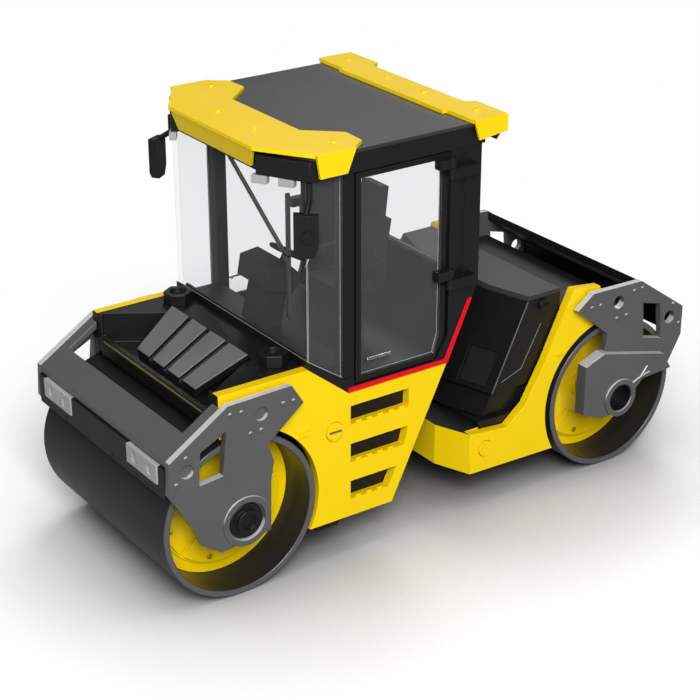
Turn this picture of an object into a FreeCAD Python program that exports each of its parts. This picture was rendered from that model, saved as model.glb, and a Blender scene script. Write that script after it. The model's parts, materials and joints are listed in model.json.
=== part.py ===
import FreeCAD, Part
import math
import os

# Die-cast toy road roller with two drums, about 1:50, in millimetres.
# +X is the machine's left side, the front faces -Y, +Z is up, the drums rest on Z = 0.

# Drums and axles
DRUM_RADIUS = 13.0
DRUM_WIDTH = 38.0
DRUM_WALL = 1.0
DISC_RECESS = 6.5
DISC_THICK = 1.2
AXLE_RADIUS = 1.5
HUB_RADIUS = 4.0
WHEELBASE = 72.1
FRONT_AXLE_Y = -36.64
RUNNING_FIT = 0.05

# Side plates that carry the drums
PLATE_GAP = 0.3
PLATE_THICK = 1.1
CAP_THICK = 1.2
CAP_RADIUS = 1.9
BRACKET_PROUD = 1.0
RING_RADIUS = 3.3
RING_HOLE = 2.4
RIVET_RADIUS = 0.32
RIVET_RISE = 0.22
DIMPLE_RADIUS = 1.1
DIMPLE_DEPTH = 0.5

# Chassis and side panels
PANEL_INSET = 0.3
PANEL_THICK = 1.5
PANEL_DROP = 6.4
ARCH_GAP = 0.8
SEAT_GAP = 0.1
DECK_RISE = 7.3
WAIST_DROP = 5.7
STEP_HEIGHT = 3.9
STEP_PITCH = 6.35
STEP_COUNT = 3
STEP_DROP = 2.3
STEP_LEDGE = 0.8
STEP_MARGIN = 2.1

# Articulated joint
PIVOT_Y = -1.0
PIVOT_RADIUS = 1.2
EAR_RADIUS = 3.4
TONGUE_RISE = 3.5
TONGUE_THICK = 3.0
EAR_THICK = 2.6
EAR_GAP = 0.35

# Cab
CAB_PROUD = 0.2
GLASS_INSET = 0.4
PILLAR_DEEP = 2.4
POST_DEEP = 1.8
GLASS_THICK = 0.6
CAB_FRONT_Y = -24.5
DOOR_FRONT_Y = -16.2
DOOR_REAR_Y = 0.2
DOOR_RISE = 1.4
DOOR_THICK = 0.9
DOOR_BORDER = 0.9
DOOR_GAP = 0.3
CAB_REAR_Y = 6.5
SILL_RISE = 1.2
REAR_SILL_RISE = 12.7
GLASS_HEIGHT = 34.4
RAIL_HEIGHT = 2.9
HINGE_OUT = 0.9
HINGE_RADIUS = 0.6
HINGE_PIN = 0.28

# Roof
ROOF_OVER = 0.7
ROOF_SKIN = 0.6
ROOF_PLATE_THICK = 0.6
ROOF_FRONT_Y = -28.85
ROOF_REAR_Y = 10.25
VISOR_HALF = 11.6
VISOR_DROP = 3.4
LAMP_DROP = 1.2
LAMP_PITCH = 4.15
MIRROR_Y = -24.3
MIRROR_HANG = 2.6
MIRROR_OUT = 1.7
MIRROR_WIDE = 3.5
MIRROR_HIGH = 6.2
MIRROR_TURN = 55.0

# Engine hood and rear frame
HOOD_INSET = 0.3
HOOD_RISE = 0.3
HOOD_REAR_GAP = 10.26
HOOD_LID = 0.8
NOSE_HEIGHT = 7.1

AXLE_Z = DRUM_RADIUS
REAR_AXLE_Y = FRONT_AXLE_Y + WHEELBASE
DRUM_HALF = DRUM_WIDTH / 2.0
PLATE_IN = DRUM_HALF + PLATE_GAP
PLATE_OUT = PLATE_IN + PLATE_THICK
PANEL_HALF = DRUM_HALF - PANEL_INSET
PANEL_IN = PANEL_HALF - PANEL_THICK
CORE_HALF = PANEL_IN - SEAT_GAP
PANEL_BOTTOM = AXLE_Z - PANEL_DROP
DISC_OUT = DRUM_HALF - DISC_RECESS
DISC_IN = DISC_OUT - DISC_THICK
ARCH_RADIUS = DRUM_RADIUS + ARCH_GAP
DECK_TOP = 2.0 * DRUM_RADIUS + DECK_RISE
WAIST = DECK_TOP - WAIST_DROP
STEP_TOP = WAIST - STEP_DROP
TONGUE_Z = AXLE_Z + TONGUE_RISE
CAB_HALF = PANEL_HALF + CAB_PROUD
GLASS_HALF = CAB_HALF - GLASS_INSET
DOOR_BOTTOM = WAIST + DOOR_RISE
SILL_Z = WAIST + REAR_SILL_RISE
GLASS_TOP = WAIST + GLASS_HEIGHT
ROOF_HALF = CAB_HALF + ROOF_OVER
RAIL_TOP = GLASS_TOP + RAIL_HEIGHT
SKIN_TOP = RAIL_TOP + ROOF_SKIN
HINGE_X = CAB_HALF + HINGE_OUT
HINGE_Y = DOOR_REAR_Y + DOOR_GAP / 2.0
HOOD_HALF = PANEL_IN - HOOD_INSET
HOOD_TOP = DECK_TOP + HOOD_RISE
HOOD_REAR_Y = REAR_AXLE_Y - HOOD_REAR_GAP
NOSE_BOTTOM = PANEL_BOTTOM - 0.2
NOSE_TOP = NOSE_BOTTOM + NOSE_HEIGHT
BLADE_X = GLASS_HALF - 4.1


def vec(x, y, z):
    return FreeCAD.Vector(x, y, z)


def box(x0, x1, y0, y1, z0, z1):
    return Part.makeBox(x1 - x0, y1 - y0, z1 - z0, vec(x0, y0, z0))


def wire(points):
    return Part.makePolygon(points + [points[0]])


def prism_x(outline, x0, x1):
    """Solid from a side outline of (y, z) points, between two x planes."""
    face = Part.Face(wire([vec(x0, y, z) for y, z in outline]))
    return face.extrude(vec(x1 - x0, 0, 0))


def prism_z(outline, z0, z1):
    """Solid from a plan outline of (x, y) points, between two heights."""
    face = Part.Face(wire([vec(x, y, z0) for x, y in outline]))
    return face.extrude(vec(0, 0, z1 - z0))


def prism_y(outline, y0, y1):
    """Solid from a front outline of (x, z) points, between two y planes."""
    face = Part.Face(wire([vec(x, y0, z) for x, z in outline]))
    return face.extrude(vec(0, y1 - y0, 0))


def cyl_x(x0, x1, y, z, radius):
    return Part.makeCylinder(radius, x1 - x0, vec(x0, y, z), vec(1, 0, 0))


def cyl_y(y0, y1, x, z, radius):
    return Part.makeCylinder(radius, y1 - y0, vec(x, y0, z), vec(0, 1, 0))


def cyl_z(z0, z1, x, y, radius):
    return Part.makeCylinder(radius, z1 - z0, vec(x, y, z0), vec(0, 0, 1))


def rod(start, end, radius):
    line = vec(*end) - vec(*start)
    return Part.makeCylinder(radius, line.Length, vec(*start), line)


def hexagon(centre, radius, z0, z1):
    """Upright hexagonal prism with its corners on a circle."""
    corners = [
        (
            centre[0] + radius * math.cos(math.radians(60 * turn)),
            centre[1] + radius * math.sin(math.radians(60 * turn)),
        )
        for turn in range(6)
    ]
    return prism_z(corners, z0, z1)


def mirrored(shape):
    return shape.mirror(vec(0, 0, 0), vec(1, 0, 0))


def fuse(shapes):
    result = shapes[0]
    if len(shapes) > 1:
        result = shapes[0].multiFuse(shapes[1:])
    return result.removeSplitter()


def shifted(outline, dy, dz):
    return [(y + dy, z + dz) for y, z in outline]


def symmetric(half):
    """Full plan outline from the points of its +X half, front to rear."""
    return half + [(-x, y) for x, y in reversed(half)]


def save(name, shape):
    shape.exportStep(os.path.join("parts", name + ".step"))


def save_pair(name, shape):
    save(name + "_left", shape)
    save(name + "_right", mirrored(shape))


def save_both(name, shape):
    """Two identical small pieces, one each side, as separate solids in one node."""
    save(name, Part.makeCompound([shape, mirrored(shape)]))


# Drums


def drum_shell(axle_y):
    outer = cyl_x(-DRUM_HALF, DRUM_HALF, axle_y, AXLE_Z, DRUM_RADIUS)
    inner = cyl_x(-DRUM_HALF - 1, DRUM_HALF + 1, axle_y, AXLE_Z, DRUM_RADIUS - DRUM_WALL)
    return outer.cut(inner)


def drum_disc(axle_y):
    """Recessed end disc with its hub tube, rim step, raised sectors and bolt heads."""
    rim = DRUM_RADIUS - DRUM_WALL
    plate = cyl_x(DISC_IN, DISC_OUT, axle_y, AXLE_Z, rim)
    hub = cyl_x(DISC_IN, DISC_OUT + 1.6, axle_y, AXLE_Z, HUB_RADIUS - 0.6)
    raised = cyl_x(DISC_OUT, DISC_OUT + 0.35, axle_y, AXLE_Z, rim - 1.6)
    bolts = []
    for turn in range(6):
        angle = math.radians(60 * turn + 15)
        reach = rim - 3.0
        y = axle_y + reach * math.cos(angle)
        z = AXLE_Z + reach * math.sin(angle)
        bolts.append(cyl_x(DISC_OUT + 0.1, DISC_OUT + 0.8, y, z, 0.55))
    bore = cyl_x(0, DRUM_HALF, axle_y, AXLE_Z, AXLE_RADIUS + RUNNING_FIT)
    return fuse([plate, hub, raised] + bolts).cut(bore)


def drum_axle(axle_y, half_length):
    return cyl_x(-half_length, half_length, axle_y, AXLE_Z, AXLE_RADIUS)


# Side plates

FRONT_PLATE_OUTLINE = [
    (-12.38, 13.05), (-2.62, 19.33), (8.13, 19.61), (10.16, 16.36), (3.98, 11.42),
    (4.91, 8.35), (4.37, 5.3), (4.19, -2.86), (-4.37, -3.9), (-7.58, -1.67),
    (-9.04, 1.67), (-12.65, 7.83),
]
FRONT_WINDOW = [(-3.01, 15.51), (-7.34, 13.33), (-7.67, 8.15), (-3.73, 8.55)]
FRONT_DIMPLES = [(2.93, 16.59), (-9.6, 11.06)]
FRONT_RIVETS = [
    (-2.3, 17.84), (-0.4, 17.75), (6.65, 17.16), (8.42, 17.12), (1.03, 13.94),
    (2.87, 14.03), (-9.7, 13.18), (-11.35, 9.41),
]
REAR_PLATE_OUTLINE = [
    (-9.4, 17.4), (-6.2, 19.74), (4.25, 19.48), (14.08, 12.67), (14.09, 7.56),
    (11.25, 2.48), (4.6, 2.48), (-4.2, 7.2), (-2.9, 8.2), (-2.8, 11.95),
]
REAR_WINDOW = [(4.9, 15.4), (8.8, 14.4), (9.4, 8.0), (5.4, 9.1)]
REAR_HOLES = [(-0.6, 16.9), (11.1, 11.4)]
REAR_RIVETS = [
    (-6.4, 17.3), (-4.6, 17.3), (2.7, 18.1), (4.5, 18.2), (-0.8, 14.1),
    (1.2, 14.2), (11.8, 13.6), (13.4, 9.7),
]
REAR_BRACKET_OUTLINE = [
    (-3.9, 8.9), (-7.8, 7.5), (-7.9, -1.1), (-3.9, -2.7), (0.0, -2.7), (5.0, 2.1), (11.25, 2.48),
    (9.5, 5.5),
]


def rivet_heads(places, axle_y):
    heads = []
    for y, z in places:
        heads.append(cyl_x(PLATE_OUT - 0.2, PLATE_OUT + RIVET_RISE, axle_y + y, AXLE_Z + z, RIVET_RADIUS))
    return heads


def axle_hub(axle_y, radius):
    """Boss on the inner face of a side plate that carries the axle."""
    return cyl_x(DISC_OUT + 1.9, PLATE_IN + 0.1, axle_y, AXLE_Z, radius)


def front_plate():
    body = prism_x(shifted(FRONT_PLATE_OUTLINE, FRONT_AXLE_Y, AXLE_Z), PLATE_IN, PLATE_OUT)
    window = prism_x(shifted(FRONT_WINDOW, FRONT_AXLE_Y, AXLE_Z), PLATE_IN - 1, PLATE_OUT + 1)
    ring = cyl_x(PLATE_OUT - 0.1, PLATE_OUT + 0.25, FRONT_AXLE_Y, AXLE_Z, HUB_RADIUS)
    recess = cyl_x(PLATE_OUT - 0.5, PLATE_OUT + 1, FRONT_AXLE_Y, AXLE_Z, HUB_RADIUS - 0.9)
    bore = cyl_x(0, PLATE_OUT + 1, FRONT_AXLE_Y, AXLE_Z, AXLE_RADIUS)
    dimples = []
    for y, z in FRONT_DIMPLES:
        dimples.append(
            cyl_x(PLATE_OUT - DIMPLE_DEPTH, PLATE_OUT + 1, FRONT_AXLE_Y + y, AXLE_Z + z, DIMPLE_RADIUS)
        )
    solid = fuse([body, ring, axle_hub(FRONT_AXLE_Y, HUB_RADIUS - 0.8)])
    solid = solid.cut([window, recess, bore] + dimples)
    return fuse([solid] + rivet_heads(FRONT_RIVETS, FRONT_AXLE_Y))


def rear_plate():
    body = prism_x(shifted(REAR_PLATE_OUTLINE, REAR_AXLE_Y, AXLE_Z), PLATE_IN, PLATE_OUT)
    window = prism_x(shifted(REAR_WINDOW, REAR_AXLE_Y, AXLE_Z), PLATE_IN - 1, PLATE_OUT + 1)
    holes = []
    for y, z in REAR_HOLES:
        holes.append(cyl_x(PLATE_IN - 1, PLATE_OUT + 1, REAR_AXLE_Y + y, AXLE_Z + z, DIMPLE_RADIUS))
    solid = body.cut([window] + holes)
    return fuse([solid, rear_bracket()] + rivet_heads(REAR_RIVETS, REAR_AXLE_Y))


def rear_bracket():
    """Thick lower arm of the rear plate that ends in the hub ring."""
    outer = PLATE_OUT + BRACKET_PROUD
    body = prism_x(shifted(REAR_BRACKET_OUTLINE, REAR_AXLE_Y, AXLE_Z), PLATE_IN, outer)
    clear = prism_x(shifted(REAR_PLATE_OUTLINE, REAR_AXLE_Y, AXLE_Z), PLATE_IN - 1, PLATE_OUT)
    ring = cyl_x(PLATE_OUT, outer + 0.3, REAR_AXLE_Y, AXLE_Z, RING_RADIUS)
    hole = cyl_x(PLATE_IN + 0.4, outer + 1, REAR_AXLE_Y, AXLE_Z, RING_HOLE)
    bore = cyl_x(0, outer + 1, REAR_AXLE_Y, AXLE_Z, AXLE_RADIUS)
    hub = axle_hub(REAR_AXLE_Y, HUB_RADIUS - 0.8)
    return fuse([body.cut(clear), ring, hub]).cut([hole, bore])


def hub_cap(axle_y):
    """Flanged hexagonal cap over the axle end."""
    start = PLATE_OUT - 0.5
    flange = cyl_x(start, start + 0.5, axle_y, AXLE_Z, CAP_RADIUS + 0.9)
    head = cyl_x(start + 0.4, start + CAP_THICK, axle_y, AXLE_Z, CAP_RADIUS)
    socket = cyl_x(start + 0.7, start + 2, axle_y, AXLE_Z, CAP_RADIUS - 0.7)
    return fuse([flange, head]).cut(socket)


# Front frame


def arch_cutter(axle_y):
    return cyl_x(-PANEL_HALF - 1, PANEL_HALF + 1, axle_y, AXLE_Z, ARCH_RADIUS)


FRONT_REAR_LOW = (PIVOT_Y - 8.2, PANEL_BOTTOM)
FRONT_REAR_HIGH = (PIVOT_Y + 2.0, WAIST)
WAIST_FRONT = (DOOR_FRONT_Y - 1.2, WAIST)
DECK_REAR = (CAB_FRONT_Y - 0.1, DECK_TOP)
DECK_FRONT = (FRONT_AXLE_Y - 3.2, DECK_TOP)
TREAD_Y0 = DOOR_FRONT_Y - 0.8
TREAD_Y1 = PIVOT_Y - 5.2
SIDE_CAP = (FRONT_AXLE_Y + 16.74, AXLE_Z + 8.9)
SIDE_CAP_RADIUS = 1.5
MARK_ANGLE = 42.0
MARK_OFFSET = 1.3


def rear_edge_y(z):
    """Y of the front frame's slanted rear edge at a height."""
    y0, z0 = FRONT_REAR_LOW
    y1, z1 = FRONT_REAR_HIGH
    return y0 + (y1 - y0) * (z - z0) / (z1 - z0)


def step_box(index):
    """Outline of one step opening, cut on the slant where the panel narrows."""
    top = STEP_TOP - index * STEP_PITCH
    low = top - STEP_HEIGHT
    rear_top = min(TREAD_Y1, rear_edge_y(top) - STEP_MARGIN)
    rear_low = min(TREAD_Y1, rear_edge_y(low) - STEP_MARGIN)
    return [
        (TREAD_Y0, low), (rear_low, low), (rear_top, top), (TREAD_Y0, top),
    ]


def step_nubs(index):
    """Raised grip nubs along the ledge of one step."""
    low = STEP_TOP - index * STEP_PITCH - STEP_HEIGHT + STEP_LEDGE
    nubs = []
    y = TREAD_Y0 + 1.2
    while y < min(TREAD_Y1, rear_edge_y(low) - STEP_MARGIN) - 1.4:
        nubs.append(box(PANEL_HALF - 0.55, PANEL_HALF - 0.15, y, y + 0.9, low - 0.1, low + 0.3))
        y += 2.0
    return nubs


def arch_mark(axle_y, angle):
    """Raised oblong on the side panel just outside the wheel arch."""
    reach = ARCH_RADIUS + MARK_OFFSET
    y = axle_y + reach * math.cos(math.radians(angle))
    z = AXLE_Z + reach * math.sin(math.radians(angle))
    return box(PANEL_HALF - 0.1, PANEL_HALF + 0.3, y - 1.0, y + 1.0, z - 0.35, z + 0.35)


def front_side_panel():
    """Yellow side panel with its drum arch, three step openings and small details."""
    outline = [
        DECK_FRONT, DECK_REAR, WAIST_FRONT, FRONT_REAR_HIGH, FRONT_REAR_LOW,
        (FRONT_AXLE_Y + 12.0, PANEL_BOTTOM), (FRONT_AXLE_Y, AXLE_Z), (DECK_FRONT[0], AXLE_Z),
    ]
    body = prism_x(outline, PANEL_IN, PANEL_HALF).cut(arch_cutter(FRONT_AXLE_Y))
    openings = []
    ledges = []
    for index in range(STEP_COUNT):
        openings.append(prism_x(step_box(index), PANEL_IN - 1, PANEL_HALF + 1))
        low = STEP_TOP - index * STEP_PITCH - STEP_HEIGHT
        rear = min(TREAD_Y1, rear_edge_y(low) - STEP_MARGIN)
        ledges.append(box(PANEL_IN, PANEL_HALF, TREAD_Y0 - 0.2, rear + 0.2, low - 0.2, low + STEP_LEDGE))
        ledges.extend(step_nubs(index))
    body = fuse([body.cut(openings)] + ledges)
    seat = cyl_x(PANEL_HALF - 0.3, PANEL_HALF + 1, SIDE_CAP[0], SIDE_CAP[1], SIDE_CAP_RADIUS + SEAT_GAP)
    return fuse([body, arch_mark(FRONT_AXLE_Y, MARK_ANGLE)]).cut(seat)


def side_cap():
    """Round filler cap with a coin slot, let into the side panel."""
    disc = cyl_x(PANEL_HALF - 0.3, PANEL_HALF + 0.3, SIDE_CAP[0], SIDE_CAP[1], SIDE_CAP_RADIUS)
    slot = box(PANEL_HALF + 0.05, PANEL_HALF + 1, SIDE_CAP[0] - 1.1, SIDE_CAP[0] + 1.1,
               SIDE_CAP[1] - 0.2, SIDE_CAP[1] + 0.2)
    return disc.cut(slot)


def front_chassis():
    """Black core between the side panels, with the fork ears of the joint at the rear."""
    half = CORE_HALF
    outline = [
        (FRONT_AXLE_Y + 8.0, WAIST - 1.0), (rear_edge_y(WAIST - 1.0) - 1.5, WAIST - 1.0),
        (rear_edge_y(PANEL_BOTTOM + 1.0) - 1.5, PANEL_BOTTOM + 1.0),
        (FRONT_AXLE_Y + 12.6, PANEL_BOTTOM + 1.0),
    ]
    body = prism_x(outline, -half, half)
    room = cyl_x(-PANEL_HALF, PANEL_HALF, FRONT_AXLE_Y, AXLE_Z, ARCH_RADIUS + 0.8)
    body = body.cut(room)
    tongue_low = TONGUE_Z - TONGUE_THICK / 2.0
    tongue_high = TONGUE_Z + TONGUE_THICK / 2.0
    swing = cyl_z(tongue_low - EAR_GAP, tongue_high + EAR_GAP, 0, PIVOT_Y, EAR_RADIUS + 3.6)
    low = [tongue_low - EAR_GAP - EAR_THICK, tongue_high + EAR_GAP]
    ears = []
    for z in low:
        ears.append(cyl_z(z, z + EAR_THICK, 0, PIVOT_Y, EAR_RADIUS))
        ears.append(box(-EAR_RADIUS, EAR_RADIUS, rear_edge_y(z) - 3.0, PIVOT_Y, z, z + EAR_THICK))
    bore = cyl_z(0, WAIST, 0, PIVOT_Y, PIVOT_RADIUS + RUNNING_FIT)
    return fuse([body.cut(swing)] + ears).cut(bore)


def pivot_pin():
    """Headed pin of the articulated joint."""
    low = TONGUE_Z - TONGUE_THICK / 2.0 - EAR_GAP - EAR_THICK
    high = TONGUE_Z + TONGUE_THICK / 2.0 + EAR_GAP + EAR_THICK
    shank = cyl_z(low - 0.6, high, 0, PIVOT_Y, PIVOT_RADIUS)
    head = cyl_z(high, high + 0.8, 0, PIVOT_Y, PIVOT_RADIUS + 0.9)
    nut = hexagon((0, PIVOT_Y), PIVOT_RADIUS + 0.8, low - 1.0, low)
    return fuse([shank, head, nut])


DECK_LIP = (FRONT_AXLE_Y - 3.9, DECK_TOP - 3.8)
DECK_FLOOR = DECK_TOP - 4.9
SLAT_TOP = (CAB_FRONT_Y - 5.5, DECK_TOP + 0.7)
SLAT_FOOT = (FRONT_AXLE_Y - 1.06, DECK_TOP - 3.7)
SLAT_COUNT = 4
SLAT_TOP_HALF = 11.0
SLAT_FOOT_HALF = 8.7
WEDGE_HALF = CORE_HALF - 6.1


def front_deck():
    """Black tub over the front drum with raised shoulders either side."""
    half = CORE_HALF
    floor = box(-half, half, DECK_LIP[0] + 0.7, CAB_FRONT_Y, DECK_FLOOR - 1.4, DECK_FLOOR)
    lip = box(-half, half, DECK_LIP[0] + 0.7, DECK_LIP[0] + 1.6, DECK_FLOOR - 1.4, DECK_LIP[1])
    shoulder = prism_z(
        [(half, DECK_FRONT[0]), (half, CAB_FRONT_Y), (WEDGE_HALF, CAB_FRONT_Y),
         (WEDGE_HALF, CAB_FRONT_Y - 6.0)],
        DECK_FLOOR, DECK_TOP,
    )
    wall = box(half - 1.0, half, DECK_LIP[0] + 0.7, DECK_FRONT[0] + 0.4, DECK_FLOOR - 1.4, DECK_TOP)
    bulk = box(-WEDGE_HALF, WEDGE_HALF, SLAT_TOP[0] + 0.6, CAB_FRONT_Y, DECK_FLOOR, DECK_TOP)
    return fuse([floor, lip, shoulder, mirrored(shoulder), wall, mirrored(wall), bulk])


def cross_bar():
    """Thin yellow edge strip along the front of the tub."""
    return box(
        -PANEL_IN + 2.2, PANEL_IN - 2.2, DECK_LIP[0], DECK_LIP[0] + 0.7, DECK_LIP[1] - 2.2, DECK_LIP[1]
    )


def hood_slats():
    """Sloping cover of four wide tapered slats parted by grooves."""
    rise = SLAT_TOP[1] - SLAT_FOOT[1]
    run = SLAT_TOP[0] - SLAT_FOOT[0]

    def layer(lift, inset):
        low = [
            vec(-SLAT_FOOT_HALF + inset, SLAT_FOOT[0], SLAT_FOOT[1] + lift),
            vec(SLAT_FOOT_HALF - inset, SLAT_FOOT[0], SLAT_FOOT[1] + lift),
            vec(SLAT_TOP_HALF - inset, SLAT_TOP[0], SLAT_TOP[1] + lift),
            vec(-SLAT_TOP_HALF + inset, SLAT_TOP[0], SLAT_TOP[1] + lift),
        ]
        return Part.Face(wire(low))

    base = layer(-1.2, 0.4).extrude(vec(0, 0, 0.8))
    top = layer(-0.5, 0.0).extrude(vec(0, 0, 0.9))
    grooves = []
    for index in range(1, SLAT_COUNT):
        share = 2.0 * index / SLAT_COUNT - 1.0
        foot = vec(share * SLAT_FOOT_HALF, SLAT_FOOT[0] - 1, SLAT_FOOT[1] - 1.0)
        head = vec(share * SLAT_TOP_HALF, SLAT_TOP[0] + 1, SLAT_TOP[1] - 1.0)
        points = [
            foot + vec(-0.55, 0, 0), foot + vec(0.55, 0, 0),
            head + vec(0.55, 0, 0), head + vec(-0.55, 0, 0),
        ]
        slope = rise / run
        lifted = [vec(p.x, p.y, p.z + 0.6 - slope) for p in points[:2]]
        lifted += [vec(p.x, p.y, p.z + 0.6 + slope) for p in points[2:]]
        grooves.append(Part.Face(wire(lifted)).extrude(vec(0, 0, 2.0)))
    skirt = prism_x(
        [(SLAT_FOOT[0] + 0.6, DECK_FLOOR), (SLAT_TOP[0] - 0.4, DECK_FLOOR),
         (SLAT_TOP[0] - 0.4, SLAT_TOP[1] - 1.1), (SLAT_FOOT[0] + 0.6, SLAT_FOOT[1] - 0.5)],
        -SLAT_FOOT_HALF + 1.2, SLAT_FOOT_HALF - 1.2,
    )
    return fuse([base, top.cut(grooves), skirt])


def water_caps():
    """Two hexagonal tank caps with sunk round centres, one on each shoulder."""
    centre = (CORE_HALF - 3.3, CAB_FRONT_Y - 2.8)
    body = hexagon(centre, 2.3, DECK_TOP, DECK_TOP + 1.9)
    sink = cyl_z(DECK_TOP + 1.1, DECK_TOP + 3, centre[0], centre[1], 1.3)
    cap = body.cut(sink)
    return Part.makeCompound([cap, mirrored(cap)])


PLATE_SLOPE = (19.33 - 13.05) / (12.38 - 2.62)
BUMPER_FRONT_Y = FRONT_AXLE_Y - DRUM_RADIUS + 0.3
CROSS_FRONT = (BUMPER_FRONT_Y + 0.4, AXLE_Z + DRUM_RADIUS + 0.05)
SLOT_FRONT_Y = CROSS_FRONT[0] + 4.0
SLOT_HALF = PLATE_IN - 2.0
CROSS_THICK = 1.2


def slope_z(y):
    return CROSS_FRONT[1] + (y - CROSS_FRONT[0]) * PLATE_SLOPE


def front_cross_plate():
    """Sloping grey plate with the wide slot in front of the tub."""
    half = PLATE_IN
    rear = DECK_FRONT[0] - SEAT_GAP
    outline = [
        (CROSS_FRONT[0], slope_z(CROSS_FRONT[0])), (rear, slope_z(rear)),
        (rear, slope_z(rear) - CROSS_THICK), (CROSS_FRONT[0], slope_z(CROSS_FRONT[0]) - CROSS_THICK),
    ]
    body = prism_x(outline, -half, half)
    slot = box(-SLOT_HALF, SLOT_HALF, SLOT_FRONT_Y, rear + 1, AXLE_Z, DECK_TOP + 2)
    return body.cut(slot)


def bumper():
    """Black front bumper under the cross plate, with sunk lamp seats."""
    front = BUMPER_FRONT_Y
    top = CROSS_FRONT[1] - CROSS_THICK - 0.1
    low = top - 4.75
    half = PLATE_IN
    face = box(-half, half, front, front + 1.1, low, top)
    foot = box(-half, half, front, front + 1.5, low, low + 0.8)
    shelf = box(-half, half, front, front + 2.6, top - 0.9, top)
    solid = fuse([face, foot, shelf])
    seats = []
    for side in (1, -1):
        seats.append(lamp_block(side, SEAT_GAP))
    rivets = []
    for x in (-11.0, -3.7, 3.7, 11.0):
        rivets.append(cyl_y(front - 0.15, front + 0.3, x, low + 0.45, 0.25))
    return fuse([solid.cut(seats)] + rivets)


LAMP_CENTRE_X = PLATE_IN - 6.2
LAMP_WIDE = 8.8
LAMP_HIGH = 3.0


def lamp_block(side, grow):
    front = BUMPER_FRONT_Y
    x = side * LAMP_CENTRE_X
    half = LAMP_WIDE / 2.0 + grow
    z0 = CROSS_FRONT[1] - 4.35 - grow
    return box(x - half, x + half, front - 0.2, front + 0.6, z0, z0 + LAMP_HIGH + 2 * grow)


def headlamp():
    """Grey lamp block with two upright slots."""
    block = lamp_block(1, 0.0)
    front = BUMPER_FRONT_Y - 0.2
    slots = []
    for shift in (-2.2, 2.2):
        x = LAMP_CENTRE_X + shift
        slots.append(
            box(x - 0.55, x + 0.55, front - 1, front + 0.35, CROSS_FRONT[1] - 3.65, CROSS_FRONT[1] - 2.05)
        )
    return block.cut(slots)


def front_scraper():
    """Scraper bar behind the front drum with its two end brackets."""
    y = FRONT_AXLE_Y + ARCH_RADIUS + 0.7
    bar = box(-PANEL_IN + 0.4, PANEL_IN - 0.4, y, y + 2.2, PANEL_BOTTOM - 0.7, PANEL_BOTTOM + 1.0)
    lug = box(PANEL_IN - 2.6, PANEL_IN + 0.8, y - 0.6, y + 3.4, PANEL_BOTTOM - 1.3, PANEL_BOTTOM)
    return fuse([bar, lug, mirrored(lug)])


# Cab


def cab_sill():
    """Black side wall of the cab between the yellow panel and the glass."""
    return [
        (DECK_REAR[0], DECK_TOP + 0.1), (WAIST_FRONT[0], WAIST + 0.1), (FRONT_REAR_HIGH[0], WAIST + 0.1),
        (CAB_REAR_Y - 1.0, SILL_Z - 2.6), (CAB_REAR_Y, SILL_Z), (HINGE_Y + 0.5, SILL_Z),
        (HINGE_Y + 0.5, DOOR_BOTTOM + 3.2), (DOOR_REAR_Y - 1.6, DOOR_BOTTOM - DOOR_GAP),
        (DOOR_FRONT_Y - DOOR_GAP, DOOR_BOTTOM - DOOR_GAP),
        (DOOR_FRONT_Y - DOOR_GAP, DOOR_BOTTOM + SILL_RISE),
        (DOOR_FRONT_Y - DOOR_GAP - POST_DEEP, DOOR_BOTTOM + SILL_RISE),
        (DECK_REAR[0], DECK_TOP + SILL_RISE),
    ]


def cab_floor():
    """Tub of the cab: floor, side sills and the rear wall."""
    side = prism_x(cab_sill(), CAB_HALF - 1.7, CAB_HALF)
    floor = box(
        -CAB_HALF + 1.7, CAB_HALF - 1.7, CAB_FRONT_Y + 0.1, HINGE_Y + 0.25, WAIST + 0.2, WAIST + 1.2
    )
    side_floor = box(
        -CAB_HALF + 1.7, CAB_HALF - 1.7, CAB_FRONT_Y + 0.1, CAB_FRONT_Y + 6.7, DECK_TOP - 1.3, DECK_TOP
    )
    riser = box(
        -CAB_HALF + 1.7, CAB_HALF - 1.7, CAB_FRONT_Y + 5.7, CAB_FRONT_Y + 6.7, WAIST + 0.2, DECK_TOP
    )
    back = prism_x(
        [(HINGE_Y + 0.25, WAIST + 0.2), (CAB_REAR_Y - 1.0, SILL_Z - 2.4), (CAB_REAR_Y, SILL_Z),
         (CAB_REAR_Y - 1.4, SILL_Z), (CAB_REAR_Y - 2.2, SILL_Z - 2.4), (HINGE_Y - 0.95, WAIST + 0.2)],
        -CAB_HALF + 1.7, CAB_HALF - 1.7,
    )
    toe = box(
        -CAB_HALF + 1.7, CAB_HALF - 1.7, CAB_FRONT_Y, CAB_FRONT_Y + 1.0, DECK_TOP - 1.3,
        DECK_TOP + SILL_RISE
    )
    tub = fuse([side, mirrored(side), floor, side_floor, riser, back, toe])
    return tub.cut([front_post(), mirrored(front_post()), windscreen()])


def front_post():
    """Upright post ahead of the door."""
    rear = DOOR_FRONT_Y - DOOR_GAP
    return box(CAB_HALF - PILLAR_DEEP, CAB_HALF, rear - POST_DEEP, rear, DOOR_BOTTOM + SILL_RISE, GLASS_TOP)


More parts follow.
